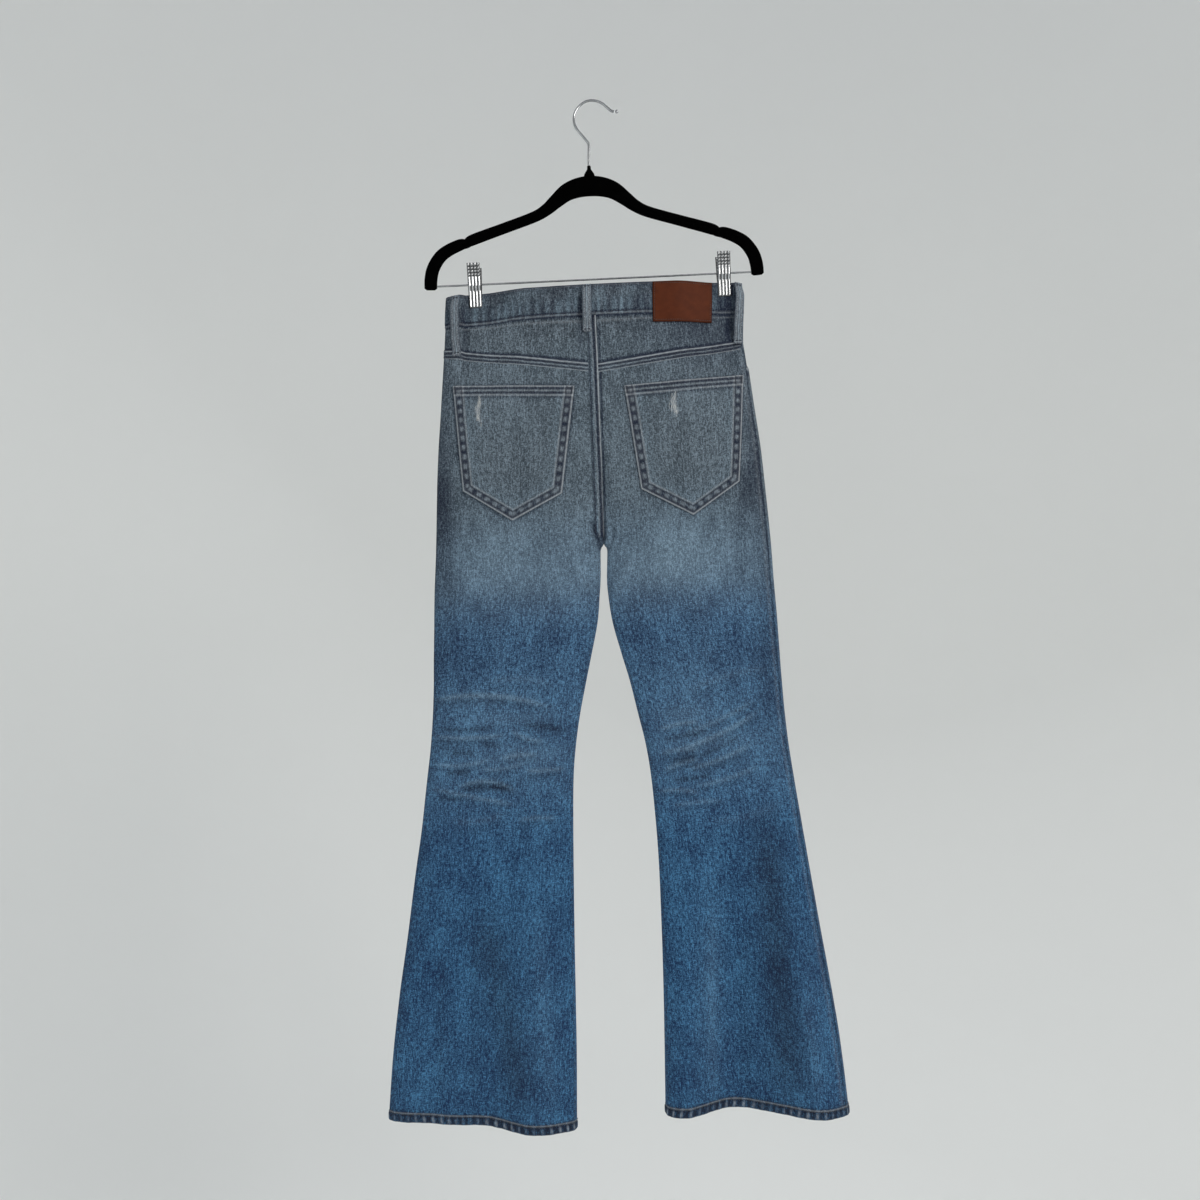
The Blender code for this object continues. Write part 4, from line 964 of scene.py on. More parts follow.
def grid_piece(name: str, points: Array, wash: Optional[Array] = None) -> Piece:
    """Makes a piece of a grid of points, with a metric UV map.

    Args:
        name: The piece's name.
        points: Rows of points, in millimetres.
        wash: Four shares for each point, for its finish; the last one darkens it and carries painted shade.

    Returns:
        The piece, a single layer.
    """
    rows, columns = points.shape[:2]
    deselect_all()
    bpy.ops.mesh.primitive_grid_add(
        x_subdivisions=columns - 1, y_subdivisions=rows - 1, size=1.0, calc_uvs=True
    )
    piece = bpy.context.object
    piece.name = name
    mesh = piece.data
    mesh.name = name
    if len(mesh.vertices) != rows * columns:
        raise RuntimeError(f"{name}: the grid has {len(mesh.vertices)} points, not {rows * columns}")
    mesh.vertices.foreach_set("co", (points * MM).reshape(-1))
    steps = np.linalg.norm(np.diff(points, axis=1), axis=2)
    along = np.concatenate([np.zeros((rows, 1)), np.cumsum(steps, axis=1)], axis=1)
    along -= along[:, columns // 2][:, None]
    drops = np.linalg.norm(np.diff(points, axis=0), axis=2).mean(axis=1)
    down = -np.concatenate([[0.0], np.cumsum(drops)])
    metric = np.stack([along, np.broadcast_to(down[:, None], along.shape)], axis=-1).reshape(-1, 2) * MM
    corners = np.empty(len(mesh.loops), dtype=np.int32)
    mesh.loops.foreach_get("vertex_index", corners)
    mesh.uv_layers.active.data.foreach_set("uv", metric[corners].reshape(-1))
    if wash is not None:
        mark = mesh.attributes.new("wash", "FLOAT_COLOR", "POINT")
        mark.data.foreach_set("color", np.clip(wash, 0.0, 1.0).astype(np.float32).reshape(-1))
    mesh.update()
    return piece


def face_outwards(piece: Piece, outward: Array) -> None:
    """Flips a single layer if its faces look against the outward directions.

    Args:
        piece: The piece.
        outward: The outward direction at each of its points.
    """
    mesh = piece.data
    normals = np.empty(len(mesh.vertices) * 3, dtype=np.float32)
    mesh.vertices.foreach_get("normal", normals)
    if float((normals.reshape(-1, 3) * outward.reshape(-1, 3)).sum()) < 0.0:
        edit(piece, bpy.ops.mesh.flip_normals)


def dress(piece: Piece, material: Material, degrees: float = 50.0) -> Piece:
    """Gives a piece its finish and smooth shading, and lets it ride on the body."""
    piece.data.materials.append(material)
    smooth(piece, degrees)
    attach(piece, BODY)
    LOG.info("%s: %d faces", piece.name, len(piece.data.polygons))
    return piece


def cloth_piece(
    name: str, points: Array, outward: Array, thickness: float, wash: Optional[Array], material: Material,
    degrees: float = 50.0,
) -> Piece:
    """Makes a thin sheet from the grid of its outer face.

    Args:
        name: The piece's name.
        points: Rows of points of the outer face, in millimetres.
        outward: The outward direction at each.
        thickness: The sheet's thickness, inwards.
        wash: Shares of grey, fade, wear and dark at each point; the dark share carries painted shade.
        material: Its finish.
        degrees: The angle past which its edges stay crisp.

    Returns:
        The piece, riding on the body.
    """
    piece = grid_piece(name, points, wash)
    face_outwards(piece, outward)
    apply_modifier(piece, "SOLIDIFY", thickness=thickness * MM, offset=-1.0, use_rim=True)
    return dress(piece, material, degrees)


def loft_piece(name: str, rings: Array, material: Material, degrees: float = 50.0) -> Piece:
    """Makes a closed solid from rings of points, with filled ends.

    Args:
        name: The piece's name.
        rings: Rings of points, in millimetres, all with the same count.
        material: Its finish.
        degrees: The angle past which its edges stay crisp.

    Returns:
        The piece, riding on the body.
    """
    closed = np.concatenate([rings, rings[:, :1]], axis=1)
    piece = grid_piece(name, closed)
    edit(
        piece,
        lambda: bpy.ops.mesh.remove_doubles(threshold=1e-7),
        lambda: bpy.ops.mesh.select_all(action="DESELECT"),
        lambda: bpy.ops.mesh.select_non_manifold(extend=False),
        lambda: bpy.ops.mesh.edge_face_add(),
        lambda: bpy.ops.mesh.select_all(action="SELECT"),
        lambda: bpy.ops.mesh.normals_make_consistent(inside=False),
    )
    return dress(piece, material, degrees)


def tube_rings(path: Array, radius: Array, corners: int) -> Array:
    """Rings of a round wire along a path.

    Args:
        path: The path's points.
        radius: One radius, or one for each point.
        corners: Points in a ring.

    Returns:
        The rings.
    """
    way = unit(np.gradient(path, axis=0))
    aside = np.tile(np.array([0.0, 1.0, 0.0]), (len(path), 1))
    flat = np.abs(way[:, 1]) > 0.9
    aside[flat] = (1.0, 0.0, 0.0)
    first = unit(np.cross(way, aside))
    for index in range(1, len(path)):
        turned = first[index - 1] - way[index] * np.dot(first[index - 1], way[index])
        first[index] = turned / max(np.linalg.norm(turned), 1e-9)
    second = np.cross(way, first)
    cosine, sine = circle(corners)
    wide = np.broadcast_to(np.asarray(radius, float), (len(path),))[:, None, None]
    return path[:, None] + wide * (first[:, None] * cosine[:, None] + second[:, None] * sine[:, None])


class Thread:
    """Sewn thread: one stitch, modelled once and laid along rows."""

    LENGTH = 2.9
    RADIUS = 0.5
    PITCH = 3.5

    def __init__(self) -> None:
        """Models the one stitch and starts with no rows."""
        deselect_all()
        bpy.ops.mesh.primitive_uv_sphere_add(segments=5, ring_count=4, radius=1.0)
        pattern = bpy.context.object
        self.vertices = np.array([tuple(vertex.co) for vertex in pattern.data.vertices])
        self.faces = [tuple(face.vertices) for face in pattern.data.polygons]
        deselect_all()
        pattern.select_set(True)
        bpy.ops.object.delete()
        self.places: list[Array] = []
        self.frames: list[Array] = []
        self.shades: list[Array] = []
        self.random = np.random.default_rng(7)

    def row(
        self, layer: Layer, line: Sequence[tuple[float, float]], lift: float, pitch: float = PITCH,
        across: bool = False, length: float = LENGTH, radius: float = RADIUS,
    ) -> None:
        """Sews a row along a line on the cloth.

        Args:
            layer: The back or the front.
            line: Corners of the line: a distance across and a drop.
            lift: The seat of the thread above the cloth.
            pitch: The distance from one stitch to the next.
            across: Whether the stitches lie across the line, as in a bar tack.
            length: A stitch's length.
            radius: Its half thickness.
        """
        flat = resample(line, 0.5)
        points, normals = FORM.place(layer, flat[:, 0], flat[:, 1], lift)
        self.along(points, normals, pitch, across, length, radius)

    def along(
        self, points: Array, normals: Array, pitch: float = PITCH, across: bool = False,
        length: float = LENGTH, radius: float = RADIUS,
    ) -> None:
        """Sews a row along points in space, as row does."""
        reach = reach_along(points)
        spots = np.arange(0.5 * pitch, reach[-1], pitch)
        if not len(spots):
            return
        facing = read_line(normals, reach, spots)
        ways = unit(read_line(points, reach, spots + 0.4) - read_line(points, reach, spots - 0.4))
        if across:
            ways = unit(np.cross(ways, facing))
        aside = unit(np.cross(facing, ways))
        upward = unit(np.cross(ways, aside))
        sizes = length * self.random.uniform(0.88, 1.08, len(spots))[:, None]
        self.places.append(read_line(points, reach, spots))
        self.frames.append(np.stack([aside * radius, upward * radius * 0.75, ways * 0.5 * sizes], axis=1))
        self.shades.append(self.random.uniform(0.0, 1.0, len(spots)))

    def finish(self, name: str, material: Material) -> Piece:
        """Makes one piece of all rows so far, and starts again with none.

        Args:
            name: The piece's name.
            material: Its finish.

        Returns:
            The piece.
        """
        places = np.concatenate(self.places)
        frames = np.concatenate(self.frames)
        shades = np.concatenate(self.shades)
        count, size = len(places), len(self.vertices)
        points = places[:, None] + np.einsum("vk,skc->svc", self.vertices, frames)
        starts = range(0, count * size, size)
        faces = [tuple(corner + start for corner in face) for start in starts for face in self.faces]
        mesh = bpy.data.meshes.new(name)
        mesh.from_pydata((points.reshape(-1, 3) * MM).tolist(), [], faces)
        shade = mesh.attributes.new("shade", "FLOAT", "POINT")
        shade.data.foreach_set("value", np.repeat(shades, size).astype(np.float32))
        mesh.materials.append(material)
        mesh.shade_smooth()
        piece = bpy.data.objects.new(name, mesh)
        bpy.context.scene.collection.objects.link(piece)
        edit(piece, lambda: bpy.ops.mesh.normals_make_consistent(inside=False))
        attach(piece, BODY)
        self.places, self.frames, self.shades = [], [], []
        LOG.info("%s: %d stitches", name, count)
        return piece


class NodeBench:
    """A material's node tree, with short ways to add its nodes."""

    def __init__(self, name: str) -> None:
        """Starts a material with a Principled shader."""
        self.material = bpy.data.materials.new(name)
        self.material.use_nodes = True
        self.tree = self.material.node_tree
        self.shader = self.tree.nodes["Principled BSDF"]

    def node(self, kind: str, **settings: object) -> bpy.types.Node:
        """Adds a node with its settings."""
        node = self.tree.nodes.new(kind)
        for name, value in settings.items():
            setattr(node, name, value)
        return node

    def feed(self, socket: Socket, value: object) -> None:
        """Links a socket to another, or sets it to a value."""
        if isinstance(value, Socket):
            self.tree.links.new(value, socket)
        elif isinstance(value, tuple) and len(value) == 3 and len(socket.default_value) == 4:
            socket.default_value = (*value, 1.0)
        else:
            socket.default_value = value

    def set(self, **values: object) -> None:
        """Sets or links the shader's sockets, their names in words joined by underscores."""
        for name, value in values.items():
            self.feed(self.shader.inputs[name.replace("_", " ").title().replace("Ior", "IOR")], value)

    def coordinates(self, scale: Colour, output: str = "UV") -> Socket:
        """Coordinates of the piece, scaled."""
        mapping = self.node("ShaderNodeMapping")
        self.feed(mapping.inputs["Vector"], self.node("ShaderNodeTexCoord").outputs[output])
        mapping.inputs["Scale"].default_value = scale
        return mapping.outputs["Vector"]

    def texture(self, kind: str, scale: Colour, output: str = "UV", **settings: object) -> bpy.types.Node:
        """Adds a texture over scaled coordinates."""
        node = self.node(f"ShaderNodeTex{kind}", **settings)
        self.feed(node.inputs["Vector"], self.coordinates(scale, output))
        node.inputs["Scale"].default_value = 1.0
        return node

    def noise(self, scale: tuple[float, ...], detail: float = 2.0, roughness: float = 0.5) -> Socket:
        """Noise; one number scales the piece's coordinates evenly, and two are for its UV map."""
        if len(scale) == 2:
            node = self.texture("Noise", (*scale, 1.0))
        else:
            node = self.texture("Noise", scale * (3 // len(scale)), "Object")
        node.inputs["Detail"].default_value = detail
        node.inputs["Roughness"].default_value = roughness
        return node.outputs[0]

    def math(self, operation: str, *values: object, clamp: bool = False) -> Socket:
        """A sum of numbers and sockets."""
        node = self.node("ShaderNodeMath", operation=operation, use_clamp=clamp)
        for socket, value in zip(node.inputs, values):
            self.feed(socket, value)
        return node.outputs[0]

    def sway(self, base: object, value: Socket, weight: float, clamp: bool = False) -> Socket:
        """Adds a value that swings about one half, weighted."""
        return self.math("MULTIPLY_ADD", self.math("SUBTRACT", value, 0.5), weight, base, clamp=clamp)

    def spread(self, value: object, low: float, high: float, start: float = 0.0, end: float = 1.0) -> Socket:
        """Stretches a range of a value to another, clamped."""
        node = self.node("ShaderNodeMapRange")
        for socket, number in zip(node.inputs, (value, low, high, start, end)):
            self.feed(socket, number)
        return node.outputs[0]

    def blend(self, share: object, first: object, second: object) -> Socket:
        """Blends two colours."""
        node = self.node("ShaderNodeMix", data_type="RGBA")
        self.feed(node.inputs[0], share)
        self.feed(node.inputs[6], first)
        self.feed(node.inputs[7], second)
        return node.outputs[2]

    def attribute(self, name: str) -> bpy.types.Node:
        """Reads an attribute of the piece."""
        return self.node("ShaderNodeAttribute", attribute_type="GEOMETRY", attribute_name=name)

    def bump(self, height: Socket, distance: float, strength: float) -> None:
        """Gives the shader a bump from a height."""
        node = self.node("ShaderNodeBump")
        node.inputs["Strength"].default_value = strength
        node.inputs["Distance"].default_value = distance
        self.feed(node.inputs["Height"], height)
        self.feed(self.shader.inputs["Normal"], node.outputs[0])


@dataclass(frozen=True)
class DenimFinish:
    """Washed indigo denim: warp slubs, twill, fade, grey stonewashing, wear, dark seams and painted shade."""

    name: str
    indigo_deep: Colour = (0.0022, 0.0152, 0.061)
    indigo_light: Colour = (0.061, 0.209, 0.392)
    grey_deep: Colour = (0.017, 0.023, 0.031)
    grey_light: Colour = (0.180, 0.224, 0.267)
    pale: Colour = (0.205, 0.300, 0.380)
    # The deepest navy: darker dye and seams, and painted shade and shadows
    ink: Colour = (0.005, 0.010, 0.026)
    thread_white: Colour = (0.360, 0.390, 0.420)
    layers: tuple[tuple[tuple[float, float], float, float], ...] = (
        ((180.0, 560.0), 3.0, 0.8), ((660.0, 660.0), 2.0, 1.5), ((300.0, 28.0), 2.0, 0.6),
        ((38.0, 24.0), 3.0, 0.55), ((13.0, 8.0), 2.0, 0.4),
    )
    marked: bool = True

    def make(self) -> Material:
        """Builds the material."""
        bench = NodeBench(self.name)
        slub = bench.noise((540.0, 180.0), 3.0, 0.62)
        mottle = 0.5
        for scale, detail, weight in self.layers:
            layer = bench.noise(scale, detail, 0.6)
            mottle = bench.sway(mottle, layer, weight)
        mottle = bench.sway(mottle, slub, 1.7)
        grain = bench.math("POWER", bench.spread(mottle, 0.12, 0.92), 1.6)
        twill = bench.texture("Wave", (430.0, 320.0, 0.0), wave_type="BANDS", bands_direction="DIAGONAL")
        if self.marked:
            mark = bench.attribute("wash")
            parts = bench.node("ShaderNodeSeparateColor")
            bench.feed(parts.inputs[0], mark.outputs["Color"])
            grey, fade, worn = parts.outputs[0], parts.outputs[1], parts.outputs[2]
            dark = mark.outputs["Alpha"]
        else:
            grey, fade, worn, dark = 0.9, 0.25, 0.0, 0.1
        blue = bench.blend(grain, self.indigo_deep, self.indigo_light)
        stone = bench.blend(grain, self.grey_deep, self.grey_light)
        colour = bench.blend(grey, blue, stone)
        lit = bench.math("MULTIPLY", fade, bench.math("MULTIPLY_ADD", grain, 0.9, 0.38), clamp=True)
        colour = bench.blend(lit, colour, self.pale)
        # The dark share darkens towards ink: darker dye with painted shade.
        shaded = bench.math("MULTIPLY", dark, bench.math("MULTIPLY_ADD", grain, -0.45, 1.1), clamp=True)
        colour = bench.blend(shaded, colour, self.ink)
        rubbed = bench.math("MULTIPLY", worn, bench.math("MULTIPLY_ADD", slub, 1.5, 0.1), clamp=True)
        colour = bench.blend(rubbed, colour, self.thread_white)
        ribs = bench.math("MULTIPLY_ADD", twill.outputs["Color"], 0.35, grain)
        bench.set(base_color=colour, roughness=bench.spread(grain, 0.0, 1.0, 0.92, 0.78))
        bench.set(sheen_weight=0.06, sheen_roughness=0.55, sheen_tint=(0.75, 0.84, 0.95, 1.0))
        bench.set(specular_ior_level=0.25)
        bench.bump(ribs, 0.0006, 0.55)
        return bench.material


@dataclass(frozen=True)
class ThreadFinish:
    """Sewing thread, a little uneven in shade and lightly twisted."""

    name: str
    light: Colour
    deep: Colour

    def make(self) -> Material:
        """Builds the material."""
        bench = NodeBench(self.name)
        shade = bench.attribute("shade").outputs["Fac"]
        mottle = bench.noise((900.0,), 2.0)
        share = bench.sway(shade, mottle, 0.8, clamp=True)
        bench.set(base_color=bench.blend(share, self.deep, self.light), roughness=0.75, sheen_weight=0.2)
        bench.bump(bench.noise((2600.0,), 1.0), 0.0002, 0.5)
        return bench.material


@dataclass(frozen=True)
class LeatherFinish:
    """Smooth red-brown leather with a fine grain and darker, burnished edges."""

    name: str = "brown_leather_finish"
    deep: Colour = (0.046, 0.0092, 0.0025)
    light: Colour = (0.108, 0.0245, 0.0065)
    burnished: Colour = (0.010, 0.003, 0.002)

    def make(self) -> Material:
        """Builds the material."""
        bench = NodeBench(self.name)
        cloud = bench.noise((70.0, 90.0), 4.0, 0.6)
        grain = bench.noise((900.0, 900.0), 3.0, 0.6)
        cells = bench.texture("Voronoi", (800.0, 800.0, 1.0), feature="DISTANCE_TO_EDGE")
        share = bench.math("MULTIPLY_ADD", grain, 0.45, bench.math("MULTIPLY", cloud, 0.75))
        colour = bench.blend(bench.spread(share, 0.3, 0.95), self.deep, self.light)
        colour = bench.blend(bench.attribute("wash").outputs["Alpha"], colour, self.burnished)
        bench.set(base_color=colour, roughness=bench.spread(grain, 0.2, 0.8, 0.44, 0.62))
        bench.set(specular_ior_level=0.1)
        wrinkle = bench.math("MULTIPLY_ADD", bench.spread(cells.outputs["Distance"], 0.0, 0.12), 0.6, grain)
        bench.bump(wrinkle, 0.0004, 0.4)
        return bench.material


@dataclass(frozen=True)
class VelvetFinish:
    """Black flocked velvet."""

    name: str = "black_velvet_finish"
    deep: Colour = (0.0002, 0.0002, 0.0002)
    light: Colour = (0.0012, 0.0012, 0.0013)

    def make(self) -> Material:
        """Builds the material."""
        bench = NodeBench(self.name)
        pile = bench.noise((1800.0,), 2.0, 0.6)
        brushed = bench.noise((60.0,), 3.0, 0.6)
        brushed = bench.spread(brushed, 0.3, 0.75, 0.4, 1.0)
        share = bench.math("MULTIPLY", bench.spread(pile, 0.3, 0.7), brushed)
        bench.set(base_color=bench.blend(share, self.deep, self.light), roughness=0.95)
        bench.set(sheen_weight=0.005, sheen_roughness=0.35, specular_ior_level=0.01)
        bench.bump(pile, 0.0004, 0.7)
        return bench.material


@dataclass(frozen=True)
class MetalFinish:
    """Plated or aged metal with fine scuffs; with grooved, painted shade and dark reflection between its
    ribs.
    """

    name: str
    bright: Colour
    dull: Colour
    roughness: float
    scuffed: float
    grooved: bool = False
    groove: Colour = (0.075, 0.077, 0.08)

    def make(self) -> Material:
        """Builds the material."""
        bench = NodeBench(self.name)
        cloud = bench.noise((140.0,), 4.0, 0.6)
        scuff = bench.noise((1400.0, 500.0, 500.0), 3.0, 0.7)
        share = bench.math("MULTIPLY_ADD", scuff, 0.4, bench.math("MULTIPLY", cloud, 0.6))
        share = bench.spread(share, 0.35, 0.65)
        colour = bench.blend(share, self.dull, self.bright)
        # Painted shade and dark reflection in the grooves, from the dark share of the mark
        if self.grooved:
            colour = bench.blend(bench.attribute("wash").outputs["Alpha"], colour, self.groove)
        roughness = bench.spread(share, 0.0, 1.0, self.roughness + self.scuffed, self.roughness)
        bench.set(base_color=colour, roughness=roughness, metallic=1.0)
        bench.bump(scuff, 0.0001, 0.25)
        return bench.material


@dataclass(frozen=True)
class TapeFinish:
    """Woven zip tape with its row of metal teeth shown as a fine ladder."""

    name: str = "zip_tape_finish"
    tape: Colour = (0.020, 0.035, 0.070)
    rubbed_tape: Colour = (0.045, 0.065, 0.110)
    teeth: Colour = (0.300, 0.200, 0.100)

    def make(self) -> Material:
        """Builds the material."""
        bench = NodeBench(self.name)
        weave = bench.noise((900.0, 900.0, 2200.0), 2.0)
        rungs = bench.texture("Wave", (0.0, 0.0, 157.0), "Object", wave_type="BANDS", bands_direction="Z")
        place = bench.node("ShaderNodeSeparateXYZ")
        bench.feed(place.inputs[0], bench.coordinates((1.0, 1.0, 1.0), "Object"))
        middle = bench.math("ABSOLUTE", bench.math("ADD", place.outputs[0], -0.0003))
        chain = bench.math("LESS_THAN", middle, 0.0022)
        share = bench.math("MULTIPLY", chain, bench.spread(rungs.outputs["Color"], 0.4, 0.6))
        woven = bench.blend(weave, self.tape, self.rubbed_tape)
        bench.set(base_color=bench.blend(share, woven, self.teeth), roughness=0.7)
        bench.bump(bench.math("ADD", weave, share), 0.0005, 0.6)
        return bench.material


@dataclass(frozen=True)
class StageFinish:
    """The plain pale paint of the floor and its raised edge."""

    name: str = "studio_paint"
    colour: Colour = (0.80, 0.81, 0.80)

    def make(self) -> Material:
        """Builds the material."""
        bench = NodeBench(self.name)
        cloud = bench.noise((0.8,), 2.0)
        paler = tuple(0.03 + channel for channel in self.colour)
        bench.set(base_color=bench.blend(cloud, self.colour, paler), roughness=0.9)
        return bench.material


def built(make: Callable[[], Material]) -> Material:
    """A dataclass field whose material is made with the dataclass."""
    return field(default_factory=make)


@dataclass
class Finishes:
    """All finishes of the part, built once."""

    denim: Material = built(DenimFinish("washed_denim_finish").make)
    plain_denim: Material = built(DenimFinish("plain_denim_finish", marked=False).make)
    blue_thread: Material = built(
        ThreadFinish("blue_thread_finish", (0.013, 0.022, 0.044), (0.004, 0.008, 0.019)).make
    )
    white_thread: Material = built(
        ThreadFinish("white_thread_finish", (0.60, 0.62, 0.61), (0.34, 0.36, 0.38)).make
    )
    brown_thread: Material = built(
        ThreadFinish("brown_thread_finish", (0.075, 0.026, 0.014), (0.03, 0.011, 0.007)).make
    )
    leather: Material = built(LeatherFinish().make)
    velvet: Material = built(VelvetFinish().make)
    chrome: Material = built(
        MetalFinish("chrome_finish", (0.46, 0.47, 0.48), (0.26, 0.27, 0.28), 0.12, 0.16).make
    )
    # Chrome with painted shade and dark reflection between the clip plates' ribs
    grooved_chrome: Material = built(
        MetalFinish("grooved_chrome", (0.72, 0.73, 0.74), (0.44, 0.45, 0.46), 0.14, 0.2, True).make
    )
    brass: Material = built(
        MetalFinish("aged_brass_finish", (0.42, 0.30, 0.17), (0.20, 0.12, 0.06), 0.30, 0.22).make
    )
    tape: Material = built(TapeFinish().make)


def declare(
    piece: Piece, node: str, flat: tuple[float, float],
    share: float = 1.0,
) -> None:
    """Hides the node that a sheet replaces, and logs its area as a share of the cloth it was cut from.

    Args:
        piece: The sheet.
        node: The node that it replaces.
        flat: Its cut width and length, in metres.
        share: The share of the rectangle that the cut fills.
    """
    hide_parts(node)
    area = 0.5 * sum(face.area for face in piece.data.polygons)
    LOG.info("%s: %.2f of its flat cut", piece.name, area / (flat[0] * flat[1] * share))


def strip(side: Side, turns: Array, top: Array, foot: Array, rows: int) -> tuple[Array, ...]:
    """A grid of places between two lines round one side.

    Args:
        side: The side.
        turns: The turns of its columns.
        top: The drop of its upper line at each turn.
        foot: The drop of its lower line at each turn.
        rows: The number of rows.

    Returns:
        Turns, drops, distances across and shares down, each in rows.
    """
    down, turn = matched(np.linspace(0.0, 1.0, rows)[:, None], turns)
    drop = mix(top, foot, down)
    return turn, drop, FORM.ring(side, turn, drop)[..., 0], down


def wrap(
    name: str, side: Side, turn: Array, drop: Array, lift: Array, thickness: float, wash: Array,
    material: Material,
) -> Piece:
    """Makes a sheet that lies round one side, as cloth_piece does."""
    points, outward = FORM.surface(side, turn, drop, lift), FORM.outward(side, turn, drop)
    return cloth_piece(name, points, outward, thickness, wash, material)


def lay(
    name: str, x: Array, drop: Array, lift: Array, thickness: float, wash: Array, material: Material
) -> Piece:
    """Makes a sheet that lies on the back, as cloth_piece does."""
    return cloth_piece(name, *FORM.place(Layer.BACK, x, drop, lift), thickness, wash, material)


def ends_of(side: Side, layer: Layer) -> tuple[float, float]:
    """The turns at which one layer of a leg starts and ends."""
    return (0.0, OUTSEAM_TURN[side]) if layer is Layer.BACK else (OUTSEAM_TURN[side], 2.0)


@dataclass
class Legs:
    """The back and front leg panels, the hem bands and the outseams."""

    finishes: Finishes
    hem_pitch: float = 10.5

    @staticmethod
    def wash_of(side: Side, layer: Layer, turn: Array, drop: Array, x: Array) -> Array:
        """The washed tones on a panel with their painted shade, dark in its seams."""
        wash = FORM.wash(layer, x, drop)
        seam = np.abs(turn - OUTSEAM_TURN[side]) * OUTSEAM_SCALE
        wash[..., DARK] += bands(seam, OUTSEAM_DARK)
        wash[..., WORN] += bands(seam, OUTSEAM_WORN)
        if layer is Layer.FRONT:
            scoop = drop - scoop_line(side, turn)
            bent = ease((share_across(2.0 - turn) - SCOOP_START) / 0.08)
            wash[..., DARK] += bands(scoop, SCOOP_DARK) * bent
            wash[..., WORN] += bands(scoop, SCOOP_WORN) * bent
        hem = hem_drop(side, turn) - HEM_HEIGHT - drop
        wash[..., DARK] += 0.55 * bell(hem, 1.8)
        return wash

    def panel(self, side: Side, layer: Layer) -> Piece:
        """A leg panel.

        Args:
            side: The leg's side.
            layer: The back or the front.

        Returns:
            The piece.
        """
        columns, rows = PANEL_GRIDS[layer]
        turns = np.linspace(*ends_of(side, layer), columns)
        turns[0] += 0.001
        turns[-1] -= 0.001
        top = yoke_seam(side, turns) if layer is Layer.BACK else scoop_line(side, turns)
        foot = hem_drop(side, turns) - HEM_HEIGHT
        turn, drop, x, _ = strip(side, turns, top + 0.15, foot - 0.15, rows)
        lip = 0.35 * bell((turn - OUTSEAM_TURN[side]) * OUTSEAM_SCALE, 2.6)
        lip *= 1.0 + 0.5 * np.sin(drop / 1.9 + 1.3 * np.sin(drop / 17.0))
        wash = self.wash_of(side, layer, turn, drop, x)
        name = f"cloth_{layer.word}_{side.word}"
        return wrap(name, side, turn, drop, lip, DENIM, wash, self.finishes.denim)

    def hem(self, side: Side, layer: Layer) -> Piece:
        """The turned-up hem of one layer of a leg, roped by its stitching.

        Args:
            side: The leg's side.
            layer: The back or the front.

        Returns:
            The piece.
        """
        turns = np.linspace(*ends_of(side, layer), 200)
        foot = hem_drop(side, turns)
        turn, drop, x, down = strip(side, turns, foot - HEM_HEIGHT + 0.1, foot, 19)
        reach = reach_along(FORM.ring(side, turn, drop)[0])
        sway = 1.3 * np.sin(reach / 13.0) + np.sin(reach / 31.0)
        wave = np.sin(2.0 * np.pi * (reach / self.hem_pitch + 0.2 * down) + sway)
        rolled = np.sin(np.pi * np.clip(down, 0.0, 1.0)) ** 0.5
        lift = HEM_LIFT - 0.7 + 0.9 * rolled - 0.5 * bell((down - 0.18) * HEM_HEIGHT, 1.0)
        lift += 0.55 * wave * ease(down / 0.3) * ease((1.0 - down) / 0.12 + 0.3)
        wash = FORM.wash(layer, x, drop)
        ridge = 0.5 + 0.5 * wave
        wash[..., DARK] = 0.95 - 0.45 * ridge**2 + 0.3 * bell((down - 0.26) * HEM_HEIGHT, 1.2)
        ticks = ease((ridge - 0.70) / 0.3) * bell(down - 0.6, 0.3) * (0.6 + 0.4 * np.sin(reach / 14.0))
        edges = 0.45 * ease((down - 0.92) / 0.07) + 0.55 * bell((down - 0.09) * HEM_HEIGHT, 0.9)
        wash[..., WORN] = 0.62 * ticks + edges
        name = f"cloth_hem_{layer.word}_{side.word}"
        return wrap(name, side, turn, drop, lift, HEM_CLOTH - 0.6, wash, self.finishes.denim)

    def stitches(self, side: Side, thread: Thread) -> Piece:
        """The hem's stitch row, and the rows beside the inseam."""
        for start, end in ((0.01, OUTSEAM_TURN[side]), (OUTSEAM_TURN[side], 1.99)):
            turn = np.linspace(start, end, 600)
            drop = hem_drop(side, turn) - HEM_HEIGHT + 2.2
            points = FORM.surface(side, turn, drop, HEM_LIFT + 0.1)
            thread.along(points, FORM.outward(side, turn, drop), radius=0.62)
        drop = np.linspace(CROTCH + 22.0, hem_drop(side, np.array([0.1]))[0] - HEM_HEIGHT - 3.0, 1500)
        for turn in (0.075, 1.925):
            ring = np.full_like(drop, turn)
            points = FORM.surface(side, ring, drop, 0.12)
            thread.along(points, FORM.outward(side, ring, drop), radius=0.36, pitch=3.8)
        return thread.finish(f"stitches_leg_{side.word}", self.finishes.blue_thread)

    def build(self, thread: Thread) -> None:
        """Builds and declares both legs."""
        for side in Side:
            stitches = self.stitches(side, thread)
            for layer in Layer:
                panel = self.panel(side, layer)
                hem = self.hem(side, layer)
                declare(
                    panel, f"{layer.word}_{side.word}", (0.27, 1.02),
                    PANEL_SHARES[layer],
                )
                declare(
                    hem, f"hem_{layer.word}_{side.word}", (0.26, 0.0135)
                )


